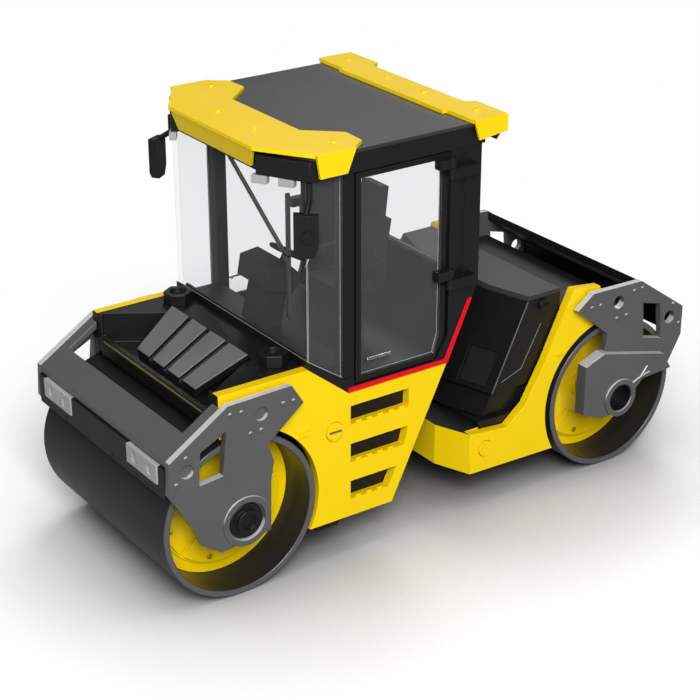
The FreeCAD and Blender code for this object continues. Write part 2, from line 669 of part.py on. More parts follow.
def cab_frame():
    """Roll frame: two front posts, two rear posts and the roof ring."""
    half = CAB_HALF
    front = front_post()
    rear = box(half - PILLAR_DEEP, half, HINGE_Y + 0.5, CAB_REAR_Y, SILL_Z, GLASS_TOP)
    flute = box(half - 0.25, half + 1, CAB_REAR_Y - 3.9, CAB_REAR_Y - 2.9, SILL_Z + 1.0, GLASS_TOP - 1.0)
    rear = rear.cut(flute)
    ring = box(-half - 0.3, half + 0.3, CAB_FRONT_Y + 0.2, CAB_REAR_Y + 0.4, GLASS_TOP, RAIL_TOP)
    hollow = box(-half + 1.6, half - 1.6, CAB_FRONT_Y + 3.6, CAB_REAR_Y - 1.6, GLASS_TOP - 1, RAIL_TOP + 1)
    shade = prism_z(
        symmetric([(VISOR_HALF - 0.4, ROOF_FRONT_Y + 1.45), (half + 0.3, CAB_FRONT_Y + 0.3)]),
        GLASS_TOP, RAIL_TOP,
    )
    frame = fuse([ring.cut(hollow), shade, front, mirrored(front), rear, mirrored(rear)])
    return frame.cut([light_box(), mirrored(light_box())])


def roof_outline(grow):
    return symmetric([
        (VISOR_HALF - 0.6, ROOF_FRONT_Y + 1.3), (ROOF_HALF + grow, CAB_FRONT_Y + 1.0),
        (ROOF_HALF + grow, CAB_REAR_Y + 1.2),
    ])


def roof_panel():
    """Dark grey roof skin with a shallow lip on both sides."""
    return prism_z(roof_outline(-0.2), RAIL_TOP, SKIN_TOP)


def roof_bumps(places, height):
    bumps = []
    for x, y in places:
        for side in (1, -1):
            bumps.append(cyl_z(height - 0.1, height + 0.25, side * x, y, 0.42))
    return bumps


FLAP_FRONT_Y = ROOF_FRONT_Y + 5.25
FLAP_REAR_Y = FLAP_FRONT_Y + 6.7


def roof_plate_front():
    """Yellow front plate with its sloping fascia and side flaps."""
    low = SKIN_TOP
    high = low + ROOF_PLATE_THICK
    outline = symmetric([
        (VISOR_HALF, ROOF_FRONT_Y), (ROOF_HALF, FLAP_FRONT_Y), (ROOF_HALF, FLAP_REAR_Y),
        (ROOF_HALF - 1.7, FLAP_REAR_Y + 2.4), (ROOF_HALF - 6.0, FLAP_REAR_Y + 2.6),
        (ROOF_HALF - 10.4, FLAP_REAR_Y - 2.3),
    ])
    plate = prism_z(outline, low, high)
    fascia_face = Part.Face(wire([
        vec(-VISOR_HALF, ROOF_FRONT_Y, high), vec(VISOR_HALF, ROOF_FRONT_Y, high),
        vec(VISOR_HALF - 1.6, ROOF_FRONT_Y + 0.7, high - VISOR_DROP),
        vec(-VISOR_HALF + 1.6, ROOF_FRONT_Y + 0.7, high - VISOR_DROP),
    ]))
    fascia = fascia_face.extrude(vec(0, 0.5, 0))
    flap = prism_x(
        [(FLAP_FRONT_Y, high), (FLAP_REAR_Y, high), (FLAP_REAR_Y - 1.5, high - 3.6),
         (FLAP_FRONT_Y + 0.6, high - 3.6)],
        ROOF_HALF, ROOF_HALF + 0.5,
    )
    bumps = roof_bumps([(5.0, FLAP_FRONT_Y - 0.6), (ROOF_HALF - 3.0, FLAP_REAR_Y - 1.5)], high)
    return fuse([plate, fascia, flap, mirrored(flap)] + bumps)


def roof_plate_rear():
    """Yellow rear plate that overhangs the cab's back."""
    low = SKIN_TOP
    high = low + ROOF_PLATE_THICK
    outline = symmetric([
        (ROOF_HALF - 6.2, ROOF_REAR_Y - 6.95), (ROOF_HALF - 6.2, ROOF_REAR_Y - 6.25),
        (ROOF_HALF + 0.2, ROOF_REAR_Y - 6.25), (ROOF_HALF + 0.2, ROOF_REAR_Y),
        (ROOF_HALF - 7.0, ROOF_REAR_Y), (ROOF_HALF - 8.0, ROOF_REAR_Y - 1.6),
    ])
    plate = prism_z(outline, low, high)
    flap = prism_x(
        [(ROOF_REAR_Y - 6.25, high), (ROOF_REAR_Y, high), (ROOF_REAR_Y, high - 2.6),
         (ROOF_REAR_Y - 5.25, high - 3.2)],
        ROOF_HALF + 0.2, ROOF_HALF + 0.6,
    )
    bumps = roof_bumps([(4.8, ROOF_REAR_Y - 3.85), (ROOF_HALF - 3.2, ROOF_REAR_Y - 3.05)], high)
    return fuse([plate, flap, mirrored(flap)] + bumps)


def light_box():
    """Black lamp carrier under the chamfered front corner of the roof."""
    end = ROOF_HALF - 0.3
    return prism_z(
        [(VISOR_HALF - 0.6, ROOF_FRONT_Y + 1.2), (VISOR_HALF + 0.2, ROOF_FRONT_Y + 0.4),
         (end, MIRROR_Y), (end, MIRROR_Y + 2.9), (end - 1.1, MIRROR_Y + 2.9),
         (VISOR_HALF, ROOF_FRONT_Y + 2.6)],
        GLASS_TOP, RAIL_TOP,
    )


def roof_lamps():
    """Two small lamps hanging under each light box."""
    lamps = []
    along = vec(ROOF_HALF - VISOR_HALF, 5.2, 0)
    along.normalize()
    out = vec(along.y, -along.x, 0)
    first = vec(VISOR_HALF + 0.5, ROOF_FRONT_Y + 1.0, GLASS_TOP - LAMP_DROP)
    for centre in (first, first + along * LAMP_PITCH):
        corners = [
            centre - along * 1.2 - out * 0.5, centre + along * 1.2 - out * 0.5,
            centre + along * 1.2 + out * 0.6, centre - along * 1.2 + out * 0.6,
        ]
        lamps.append(Part.Face(wire(corners)).extrude(vec(0, 0, LAMP_DROP)))
    group = Part.makeCompound(lamps)
    return Part.makeCompound([group, mirrored(group)])


def rear_lamp():
    """Black lamp wedge under the rear roof corner."""
    return prism_x(
        [(ROOF_REAR_Y - 0.2, RAIL_TOP), (ROOF_REAR_Y - 0.2, RAIL_TOP - 1.4),
         (ROOF_REAR_Y - 1.4, RAIL_TOP - 2.8),
         (ROOF_REAR_Y - 3.0, RAIL_TOP - 1.2), (CAB_REAR_Y + 0.5, RAIL_TOP - 1.2),
         (CAB_REAR_Y + 0.5, RAIL_TOP)],
        ROOF_HALF - 4.2, ROOF_HALF - 0.2,
    )


def windscreen():
    """One clear moulding: flat front pane and short side returns back to the posts."""
    rear = DOOR_FRONT_Y - DOOR_GAP - POST_DEEP
    low = DOOR_BOTTOM + SILL_RISE
    outer = box(-GLASS_HALF, GLASS_HALF, CAB_FRONT_Y, rear, low, GLASS_TOP)
    inner_half = GLASS_HALF - GLASS_THICK
    inner = box(-inner_half, inner_half, CAB_FRONT_Y + GLASS_THICK, rear + 1, low - 1, GLASS_TOP + 1)
    below = prism_x(
        [(CAB_FRONT_Y - 5, 0), (CAB_FRONT_Y - 5, DECK_TOP + SILL_RISE),
         (DECK_REAR[0], DECK_TOP + SILL_RISE),
         (rear, low), (DOOR_FRONT_Y, low), (DOOR_FRONT_Y, 0)],
        -CAB_HALF - 1, CAB_HALF + 1,
    )
    return outer.cut([inner, below])


def rear_window():
    """Clear pane between the rear posts."""
    half = CAB_HALF - PILLAR_DEEP
    return box(-half, half, CAB_REAR_Y - 1.2, CAB_REAR_Y - 1.2 + GLASS_THICK, SILL_Z, GLASS_TOP)


def door_outline(grow):
    return [
        (DOOR_FRONT_Y - grow, DOOR_BOTTOM - grow), (DOOR_REAR_Y - 1.8, DOOR_BOTTOM - grow),
        (DOOR_REAR_Y + grow, DOOR_BOTTOM + 4.0), (DOOR_REAR_Y + grow, GLASS_TOP - 0.3 + grow),
        (DOOR_FRONT_Y - grow, GLASS_TOP - 0.3 + grow),
    ]


HINGE_HEIGHTS = (SILL_Z + 1.7, GLASS_TOP - 2.5)
HINGE_LEAF = 1.6
HINGE_SPLIT = 0.1


def door_frame():
    """Black door border with the door halves of its two hinges."""
    x1 = CAB_HALF
    x0 = CAB_HALF - DOOR_THICK
    border = prism_x(door_outline(0.0), x0, x1).cut(prism_x(door_outline(-DOOR_BORDER), x0 - 1, x1 + 1))
    shapes = [border]
    bores = []
    for z in HINGE_HEIGHTS:
        top = z + HINGE_LEAF
        shapes.append(cyl_z(z + HINGE_SPLIT, top, HINGE_X, HINGE_Y, HINGE_RADIUS))
        shapes.append(box(x1, HINGE_X + HINGE_RADIUS, HINGE_Y - 2.6, HINGE_Y - 0.4, z + HINGE_SPLIT, top))
        bores.append(cyl_z(z - 3, top + 1, HINGE_X, HINGE_Y, HINGE_PIN + RUNNING_FIT))
    return fuse(shapes).cut(bores)


def hinge_posts():
    """Body halves of the door hinges with their pins, standing on the rear post."""
    shapes = []
    for z in HINGE_HEIGHTS:
        low = z - HINGE_LEAF
        shapes.append(cyl_z(low, z, HINGE_X, HINGE_Y, HINGE_RADIUS))
        shapes.append(cyl_z(low, z + HINGE_LEAF, HINGE_X, HINGE_Y, HINGE_PIN))
        shapes.append(box(CAB_HALF, HINGE_X + HINGE_RADIUS, HINGE_Y + 0.5, HINGE_Y + 4.6, low, z))
        shapes.append(
            box(HINGE_X - HINGE_RADIUS + 0.1, HINGE_X + HINGE_RADIUS, HINGE_Y, HINGE_Y + 0.6, low, z)
        )
    return Part.makeCompound([fuse(shapes[:4]), fuse(shapes[4:])])


def door_glass():
    """Clear pane held in the door border."""
    mid = CAB_HALF - DOOR_THICK / 2.0
    return prism_x(door_outline(-DOOR_BORDER), mid - GLASS_THICK / 2.0, mid + GLASS_THICK / 2.0)


def door_handle():
    """Silver pull bar near the foot of the door."""
    z = DOOR_BOTTOM + 3.6
    bar = cyl_y(DOOR_FRONT_Y + 1.6, DOOR_FRONT_Y + 6.0, CAB_HALF + 0.5, z, 0.22)
    feet = []
    for y in (DOOR_FRONT_Y + 1.9, DOOR_FRONT_Y + 5.7):
        feet.append(cyl_x(CAB_HALF - DOOR_THICK / 2.0 + GLASS_THICK / 2.0, CAB_HALF + 0.5, y, z, 0.2))
    return fuse([bar] + feet)


def red_trim():
    """Red line along the waist and up the cab's slanted rear edge."""
    outline = [
        (WAIST_FRONT[0] - 0.2, WAIST + 0.15), (FRONT_REAR_HIGH[0] - 0.05, WAIST + 0.15),
        (CAB_REAR_Y - 1.1, SILL_Z - 2.7), (CAB_REAR_Y - 1.9, SILL_Z - 2.7),
        (FRONT_REAR_HIGH[0] - 0.7, WAIST + 0.95), (WAIST_FRONT[0] - 0.2, WAIST + 0.95),
    ]
    return prism_x(outline, CAB_HALF, CAB_HALF + 0.12)


def seat():
    """Operator's seat: cushion, tall back with headrest, armrests and base."""
    y = DOOR_REAR_Y - 3.8
    top = WAIST + 9.8
    cushion = box(-4.2, 4.2, y - 6.1, y + 2.0, top - 2.0, top)
    base = box(-2.8, 2.8, y - 4.6, y, WAIST + 1.2, top - 1.9)
    back = prism_x(
        [(y + 0.6, top - 0.4), (y + 3.0, top - 0.4), (y + 4.7, top + 9.2), (y + 2.6, top + 9.6)], -4.0, 4.0
    )
    head = prism_x(
        [(y + 2.8, top + 9.0), (y + 4.6, top + 8.8), (y + 5.2, top + 14.0), (y + 3.6, top + 14.2)],
        -2.5, 2.5
    )
    arm = box(4.4, 5.6, y - 4.0, y + 2.6, top + 2.4, top + 3.4)
    post = box(4.1, 5.4, y + 0.8, y + 2.6, top - 1.2, top + 2.6)
    wing = box(3.9, 4.6, y + 1.0, y + 2.4, top - 0.2, top + 2.6)
    return fuse([cushion, base, back, head, arm, post, wing, mirrored(arm), mirrored(post), mirrored(wing)])


WHEEL_CENTRE = (0.0, CAB_FRONT_Y + 8.9, DECK_TOP + 10.3)


def wheel_hub():
    """Leaning hub of the steering wheel, let into the console."""
    axis = vec(0, 0.5, 0.866)
    return Part.makeCylinder(0.7, 2.9, vec(*WHEEL_CENTRE) - axis * 2.5, axis)


def console():
    """Steering column with its angled instrument head."""
    y = CAB_FRONT_Y
    z = DECK_TOP
    foot = prism_x([(y + 2.0, z), (y + 5.6, z), (y + 6.9, z + 6.7), (y + 3.9, z + 7.3)], -3.0, 3.0)
    head = prism_x(
        [(y + 2.3, z + 6.9), (y + 7.1, z + 5.3), (y + 8.5, z + 8.1), (y + 6.1, z + 10.5),
         (y + 2.9, z + 10.1)],
        -4.2, 4.2,
    )
    return fuse([foot, head]).cut(wheel_hub())


def steering_wheel():
    """Small wheel on a leaning hub."""
    centre = vec(*WHEEL_CENTRE)
    ring = Part.makeTorus(2.7, 0.35, centre, vec(0, 0.5, 0.866))
    spokes = []
    for turn in range(3):
        angle = math.radians(120 * turn + 90)
        side = vec(math.cos(angle), 0.866 * math.sin(angle), -0.5 * math.sin(angle))
        spokes.append(Part.makeCylinder(0.28, 2.7, centre, side))
    return fuse([ring, wheel_hub()] + spokes)


def wiper():
    """Windscreen wiper: twin arm from the roof edge and an upright blade in front of the pane."""
    y = CAB_FRONT_Y - 0.45
    high = GLASS_TOP - 0.3
    arms = []
    for shift in (0.0, 1.0):
        arms.append(rod((-3.0 + shift, y, high), (BLADE_X - 0.6 + shift, y, GLASS_TOP - 12.6), 0.16))
    root = box(-3.8, -1.2, y - 0.5, CAB_FRONT_Y, high - 0.7, high + 0.3)
    joint = box(BLADE_X - 0.9, BLADE_X + 0.5, y - 0.3, y + 0.2, GLASS_TOP - 13.0, GLASS_TOP - 12.2)
    blade = box(
        BLADE_X - 0.22, BLADE_X + 0.22, y - 0.2, CAB_FRONT_Y - 0.05, GLASS_TOP - 21.8, GLASS_TOP - 2.8
    )
    return fuse([root, joint, blade] + arms)


def mirror_arm():
    """Rear-view mirror, turned outwards, on a cranked arm that hangs from the light box."""
    root = vec(ROOF_HALF - 0.55, MIRROR_Y, GLASS_TOP)
    hang = root + vec(0, 0, -MIRROR_HANG)
    end = hang + vec(MIRROR_OUT, -MIRROR_OUT, -1.6)
    stem = Part.makeCylinder(0.48, MIRROR_HANG + 0.2, root, vec(0, 0, -1))
    crank = rod(tuple(hang), tuple(end), 0.42)
    half = MIRROR_WIDE / 2.0
    body = prism_y(
        [(-half, 0.3), (half, 0.0), (half, -4.6), (half - 0.7, -MIRROR_HIGH),
         (0.7 - half, -MIRROR_HIGH), (-half, -5.2)],
        -0.65, 0.65,
    )
    nub = cyl_y(-1.2, -0.6, 0.2, -3.0, 0.8)
    head = fuse([body, nub])
    head.rotate(vec(0, 0, 0), vec(0, 0, 1), MIRROR_TURN)
    head.translate(end + vec(0, 0, 0.3))
    return fuse([stem, crank, head])


# Rear frame

ARM_FRONT_Y = PIVOT_Y + 7.2
CHASSIS_FRONT_Y = ARM_FRONT_Y + 2.8
REAR_ARM_OUTLINE = [
    (ARM_FRONT_Y, NOSE_BOTTOM), (ARM_FRONT_Y, NOSE_TOP), (CHASSIS_FRONT_Y, NOSE_TOP - 0.3),
    (REAR_AXLE_Y - 21.76, NOSE_TOP - 0.7), (REAR_AXLE_Y - 18.16, NOSE_TOP + 2.2),
    (REAR_AXLE_Y - 14.46, NOSE_TOP + 8.7), (REAR_AXLE_Y - 8.96, HOOD_TOP),
    (REAR_AXLE_Y - 3.36, HOOD_TOP - 0.7),
    (REAR_AXLE_Y - 2.06, HOOD_TOP - 3.2), (REAR_AXLE_Y - 2.06, AXLE_Z),
    (REAR_AXLE_Y - 11.46, NOSE_BOTTOM - 0.4),
]
HOOD_SLANT = [
    (HOOD_REAR_Y - 6.3, HOOD_TOP), (HOOD_REAR_Y - 13.5, NOSE_TOP + 4.9),
    (HOOD_REAR_Y - 15.4, NOSE_TOP + 0.9),
]
HOOD_MID_Y = (HOOD_SLANT[0][0] - 3.0, HOOD_SLANT[1][0] - 3.1, HOOD_SLANT[2][0] - 3.2)


def rear_side_panel():
    """Yellow arm from the nose up over the rear drum."""
    body = prism_x(REAR_ARM_OUTLINE, PANEL_IN, PANEL_HALF).cut(arch_cutter(REAR_AXLE_Y))
    seat = cyl_x(PANEL_HALF - 0.3, PANEL_HALF + 1, REAR_CAP[0], REAR_CAP[1], REAR_CAP_RADIUS + SEAT_GAP)
    return fuse([body, arch_mark(REAR_AXLE_Y, 180.0 - MARK_ANGLE)]).cut(seat)


REAR_CAP = (ARM_FRONT_Y + 3.0, NOSE_BOTTOM + 3.9)
REAR_CAP_RADIUS = 1.3


def rear_side_cap():
    """Round cap with a ring of small holes, let into the rear arm."""
    disc = cyl_x(PANEL_HALF - 0.3, PANEL_HALF + 0.25, REAR_CAP[0], REAR_CAP[1], REAR_CAP_RADIUS)
    holes = []
    for turn in range(6):
        angle = math.radians(60 * turn)
        y = REAR_CAP[0] + 0.85 * math.cos(angle)
        z = REAR_CAP[1] + 0.85 * math.sin(angle)
        holes.append(cyl_x(PANEL_HALF + 0.05, PANEL_HALF + 1, y, z, 0.15))
    return disc.cut(holes)


def rear_nose():
    """Yellow chamfered nose that joins the two arms."""
    half = CORE_HALF
    return prism_z(
        symmetric([(PANEL_HALF - 6.2, ARM_FRONT_Y - 2.4), (PANEL_HALF, ARM_FRONT_Y),
                   (half, ARM_FRONT_Y), (half, CHASSIS_FRONT_Y)]),
        NOSE_BOTTOM, NOSE_TOP,
    )


def rear_chassis():
    """Black core of the rear frame with the tongue of the joint."""
    half = CORE_HALF
    body = box(-half, half, CHASSIS_FRONT_Y, CHASSIS_FRONT_Y + 13.0, PANEL_BOTTOM + 0.6, NOSE_TOP + 0.7)
    body = body.cut(cyl_x(-PANEL_HALF, PANEL_HALF, REAR_AXLE_Y, AXLE_Z, ARCH_RADIUS + 0.6))
    low = TONGUE_Z - TONGUE_THICK / 2.0
    high = TONGUE_Z + TONGUE_THICK / 2.0
    tongue = box(-EAR_RADIUS, EAR_RADIUS, PIVOT_Y, CHASSIS_FRONT_Y + 3.0, low, high)
    eye = cyl_z(low, high, 0, PIVOT_Y, EAR_RADIUS)
    root = box(-EAR_RADIUS, EAR_RADIUS, CHASSIS_FRONT_Y + 0.5, CHASSIS_FRONT_Y + 3.0, NOSE_TOP + 0.1, high)
    bore = cyl_z(0, WAIST, 0, PIVOT_Y, PIVOT_RADIUS + RUNNING_FIT)
    return fuse([body, tongue, eye, root]).cut(bore)


def hood_section(level, inset):
    """Plan of the hood at one of its three heights, bowed slightly at the front."""
    side_y, z = HOOD_SLANT[level]
    mid_y = HOOD_MID_Y[level]
    half = HOOD_HALF - inset
    return [
        vec(half, side_y + inset, z), vec(half * 0.55, mid_y + 0.7 + inset, z),
        vec(-half * 0.55, mid_y + 0.7 + inset, z), vec(-half, side_y + inset, z),
        vec(-half, HOOD_REAR_Y, z), vec(half, HOOD_REAR_Y, z),
    ]


def hood_body():
    """Black engine hood with a slanted bowed front and flat flanks."""
    upper = Part.makeLoft([wire(hood_section(1, 0.0)), wire(hood_section(0, 0.0))], True, True)
    lower = Part.makeLoft([wire(hood_section(2, 0.8)), wire(hood_section(1, 0.8))], True, True)
    solid = fuse([upper, lower])
    room = cyl_x(-HOOD_HALF - 1, HOOD_HALF + 1, REAR_AXLE_Y, AXLE_Z, ARCH_RADIUS + 0.4)
    tongue = box(-EAR_RADIUS - 0.3, EAR_RADIUS + 0.3, PIVOT_Y, CHASSIS_FRONT_Y + 3.2, NOSE_TOP + 0.5,
                 TONGUE_Z + TONGUE_THICK / 2.0 + 0.3)
    vent = vent_block(0.1)
    lid = box(-PLATE_OUT, PLATE_OUT, PIVOT_Y, REAR_AXLE_Y, HOOD_TOP - HOOD_LID, HOOD_TOP + 1)
    return solid.cut([room, tongue, vent, mirrored(vent), lid])


def hood_lid():
    """Flat dark grey lid of the hood."""
    upper = Part.makeLoft([wire(hood_section(1, 0.0)), wire(hood_section(0, 0.0))], True, True)
    below = box(-PLATE_OUT, PLATE_OUT, PIVOT_Y, REAR_AXLE_Y, 0, HOOD_TOP - HOOD_LID)
    return upper.cut(below)


def vent_block(grow):
    """Block that follows the hood's slanted front, where the mesh is set in."""
    y0, z0 = HOOD_SLANT[1]
    y1, z1 = HOOD_SLANT[0]
    slant = (y1 - y0) / (z1 - z0)
    low = HOOD_TOP - 14.6 - grow
    high = HOOD_TOP - 9.2 + grow

    def front(z):
        return y0 + (z - z0) * slant - 1.6

    return prism_x(
        [(front(low) - 2, low), (front(low) + 1.6, low), (front(high) + 1.6, high),
         (front(high) - 2, high)],
        HOOD_HALF - 6.6 - grow, HOOD_HALF - 1.7 + grow,
    )


def vent_mesh():
    """Mesh insert in the hood's front, cut flush with its face."""
    upper = Part.makeLoft([wire(hood_section(1, 0.25)), wire(hood_section(0, 0.25))], True, True)
    return vent_block(0.0).common(upper)


def hood_locks():
    """Round latch knobs high on both flanks of the hood."""
    y = HOOD_REAR_Y - 3.6
    z = HOOD_TOP - 2.0
    knob = cyl_x(HOOD_HALF, HOOD_HALF + 0.5, y, z, 1.0)
    bar = box(HOOD_HALF + 0.4, HOOD_HALF + 0.8, y - 0.8, y + 0.8, z - 0.3, z + 0.3)
    lock = fuse([knob, bar])
    return Part.makeCompound([lock, mirrored(lock)])


def rear_cross_beam():
    """Black sloping shield between the rear plates, turned down at its rear edge."""
    y = REAR_AXLE_Y
    z = AXLE_Z
    r = DRUM_RADIUS
    outline = [
        (y + 4.2, z + r + 6.4), (y + r + 0.9, z + r - 0.4), (y + r + 0.9, z + 7.7), (y + r - 0.2, z + 7.7),
        (y + r - 0.2, z + r - 1.0), (y + 4.2, z + r + 5.0),
    ]
    return prism_x(outline, -PLATE_IN, PLATE_IN)


def rear_deck():
    """Black tray between the hood and the cross beam, over the rear drum."""
    half = CORE_HALF
    tray = box(
        -half, half, HOOD_REAR_Y + 0.1, REAR_AXLE_Y + 4.1, DRUM_RADIUS * 2 + 0.9, DRUM_RADIUS * 2 + 2.0
    )
    web = box(
        -PLATE_IN, -half, REAR_AXLE_Y - 2.0, REAR_AXLE_Y + 4.1, DRUM_RADIUS * 2 + 0.9, DRUM_RADIUS * 2 + 2.0
    )
    return fuse([tray, web, mirrored(web)])


def rear_scraper():
    """Scraper bar ahead of the rear drum."""
    y = REAR_AXLE_Y - ARCH_RADIUS - 0.7
    bar = box(-PANEL_IN + 0.4, PANEL_IN - 0.4, y - 2.2, y, PANEL_BOTTOM - 0.7, PANEL_BOTTOM + 0.6)
    return bar


def base_screws():
    """Cross-head screws that hold the chassis halves, seen from below."""
    screws = []
    y = DOOR_FRONT_Y + 0.6
    z = PANEL_BOTTOM + 1.0
    for x in (6.2 - CORE_HALF, CORE_HALF - 6.2):
        head = cyl_z(z - 0.8, z, x, y, 1.4)
        groove = box(x - 0.9, x + 0.9, y - 0.2, y + 0.2, z - 1, z - 0.4)
        cross = box(x - 0.2, x + 0.2, y - 0.9, y + 0.9, z - 1, z - 0.4)
        screws.append(head.cut([groove, cross]))
    return Part.makeCompound(screws)


def main():
    os.makedirs("parts", exist_ok=True)
    save("front_drum", drum_shell(FRONT_AXLE_Y))
    save("rear_drum", drum_shell(REAR_AXLE_Y))
    save_both("front_drum_discs", drum_disc(FRONT_AXLE_Y))
    save_both("rear_drum_discs", drum_disc(REAR_AXLE_Y))
    save("front_axle", drum_axle(FRONT_AXLE_Y, PLATE_OUT - 0.5))
    save("rear_axle", drum_axle(REAR_AXLE_Y, PLATE_IN + 0.4))
    save_pair("front_plate", front_plate())
    save_pair("rear_plate", rear_plate())
    save_both("hub_caps", hub_cap(FRONT_AXLE_Y))
    save_pair("front_side_panel", front_side_panel())
    save_both("side_caps", side_cap())
    save("front_chassis", front_chassis())
    save("pivot_pin", pivot_pin())
    save("front_deck", front_deck())
    save("cross_bar", cross_bar())
    save("hood_slats", hood_slats())
    save("water_caps", water_caps())
    save("front_cross_plate", front_cross_plate())
    save("bumper", bumper())
    save_both("headlamps", headlamp())
    save("front_scraper", front_scraper())
    save("cab_floor", cab_floor())
    save("cab_frame", cab_frame())
    save("roof_panel", roof_panel())
    save("roof_plate_front", roof_plate_front())
    save("roof_plate_rear", roof_plate_rear())
    save_both("light_boxes", light_box())
    save("roof_lamps", roof_lamps())
    save_both("rear_lamps", rear_lamp())
    save("windscreen", windscreen())
    save("rear_window", rear_window())
    save_pair("door_frame", door_frame())
    save_pair("door_glass", door_glass())
    save_pair("door_handle", door_handle())
    save_both("door_hinges", hinge_posts())
    save_both("red_trim", red_trim())
    save("seat", seat())
    save("console", console())
    save("steering_wheel", steering_wheel())
    save("wiper", wiper())
    save_both("mirrors", mirror_arm())
    save_pair("rear_side_panel", rear_side_panel())
    save_both("rear_side_caps", rear_side_cap())
    save("rear_nose", rear_nose())
    save("rear_chassis", rear_chassis())
    save("engine_hood", hood_body())
    save("hood_lid", hood_lid())
    save_both("hood_vents", vent_mesh())
    save("hood_locks", hood_locks())
    save("rear_cross_beam", rear_cross_beam())
    save("rear_deck", rear_deck())
    save("rear_scraper", rear_scraper())
    save("base_screws", base_screws())


main()
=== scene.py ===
import json
import math

import bmesh
import bpy
from mathutils import Matrix, Vector


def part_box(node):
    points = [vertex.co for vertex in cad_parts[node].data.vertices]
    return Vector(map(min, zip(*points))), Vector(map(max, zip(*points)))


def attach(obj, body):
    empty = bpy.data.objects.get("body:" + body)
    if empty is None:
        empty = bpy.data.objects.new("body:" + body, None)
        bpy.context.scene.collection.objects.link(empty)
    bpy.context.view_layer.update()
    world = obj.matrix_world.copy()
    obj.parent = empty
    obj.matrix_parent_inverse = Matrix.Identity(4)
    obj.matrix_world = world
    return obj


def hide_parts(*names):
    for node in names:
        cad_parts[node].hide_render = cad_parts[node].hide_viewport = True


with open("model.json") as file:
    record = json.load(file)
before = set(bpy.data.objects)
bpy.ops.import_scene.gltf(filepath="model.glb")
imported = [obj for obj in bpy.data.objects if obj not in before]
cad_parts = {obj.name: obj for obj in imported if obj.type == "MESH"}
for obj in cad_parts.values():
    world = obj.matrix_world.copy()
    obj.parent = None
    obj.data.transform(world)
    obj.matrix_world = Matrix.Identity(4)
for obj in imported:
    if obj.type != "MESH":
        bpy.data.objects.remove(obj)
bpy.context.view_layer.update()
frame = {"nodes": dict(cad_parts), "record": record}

MM = 0.001

# Camera, from a fit of the drums, plates and roof in the photograph
AZIMUTH = math.radians(54.95)
ELEVATION = math.radians(24.78)
CAMERA_PLACE = (0.21964, -0.15808, 0.14785)
CAMERA_LENS = 94.76
SENSOR_WIDTH = 36.0

# Colours, linear
YELLOW = (1.0, 0.68, 0.0)
PLATE_GREY = (0.105, 0.105, 0.107)
# Painted highlight on the upward-facing cut edges of the plates
PAINTED_HIGHLIGHT_GREY = (0.52, 0.52, 0.53)
ROOF_GREY = (0.030, 0.030, 0.0315)
SLAT_GREY = (0.125, 0.125, 0.127)
BLACK = (0.0060, 0.0060, 0.0063)
DRUM_GREY = (0.016, 0.016, 0.017)
DRUM_RIM_TONE = 7.0
RED = (0.80, 0.0, 0.012)
SILVER = (0.62, 0.62, 0.63)
LAMP_GREY = (0.36, 0.36, 0.36)
SEAT_BLACK = (0.012, 0.012, 0.0125)
# Painted shade: a darkened copy of the yellow, for the lip that sits in shadow
SHADED_LIP_YELLOW = (0.20, 0.17, 0.002)
STEEL_GREY = (0.20, 0.20, 0.205)
GLASS_TINT = (0.975, 0.978, 0.98)
GLASS_EDGE_TINT = (0.55, 0.56, 0.57)
GRILLE_BLACK = (0.009, 0.009, 0.0095)
# Painted highlight: beads and front edges of the black hood in a paler grey
BEAD_HIGHLIGHT_GREY = (0.11, 0.11, 0.112)

# Rounding of the frame's nodes, millimetres and degrees
WELD = 0.002
COPLANAR_ANGLE = 1.0
BEVEL_ANGLE = 32
BEVEL_SEGMENTS = 2
SHARP_ANGLE = 50
AREA_CHANGE = 0.06
NARROW_FACE = 0.75

# Where a piece's second finish begins, millimetres
PANEL_FRONT_END = -39.5
PANEL_BELLY = 13.2
SLAT_FOOT_Y = -37.7
SLAT_FOOT_Z = 29.6
SLAT_SLOPE = 4.4 / 7.7
SLAT_MARGIN = 0.2

# Added pieces, millimetres and degrees
DISC_PANELS = 5
DISC_PANEL_START = 12
DISC_PANEL_SPAN = 66
DISC_PANEL_RADII = (6.0, 10.0)
DISC_PANEL_THICK = 0.35
DISC_PANEL_SUNK = 0.8
DISC_PANEL_STEPS = 10
DISC_PANEL_EDGE = 0.08
DISC_PANEL_EDGE_ANGLE = 40
PAINT_DEPTH = 0.02
HOOD_BEAD_RADIUS = 0.11
HOOD_PANEL_BEAD = [(21.4, 28.4), (17.6, 21.4), (13.6, 20.0)]
HOOD_EDGE_BEAD = [(18.53, 32.7), (11.8, 18.5)]
LINER_SIDES = 40
LINER_PROFILE = [(19.75, 0.6), (19.75, 2.38), (21.5, 2.38), (21.5, 2.2), (19.9, 2.2), (19.9, 0.6)]
RIB_X = 21.42
RIB_RADIUS = 0.2
RIB_STEM = [(2.7, 1.9), (4.5, 2.6), (5.8, 4.2)]
RIB_FORK = [(4.5, 2.6), (6.4, 3.0)]
LIP_RADIUS = 0.12
LIP_END = 0.3
LIP_SETBACK = 0.25
LIP_SUNK = 0.06
SLOT_RADIUS = 0.16
SLOT_SHARE = 0.68

# Studio, metres
FLOOR_HALF = 2.0
FLOOR_SHOWN = (0.97, 0.97, 0.97)
FLOOR_LIT = (0.30, 0.30, 0.30)
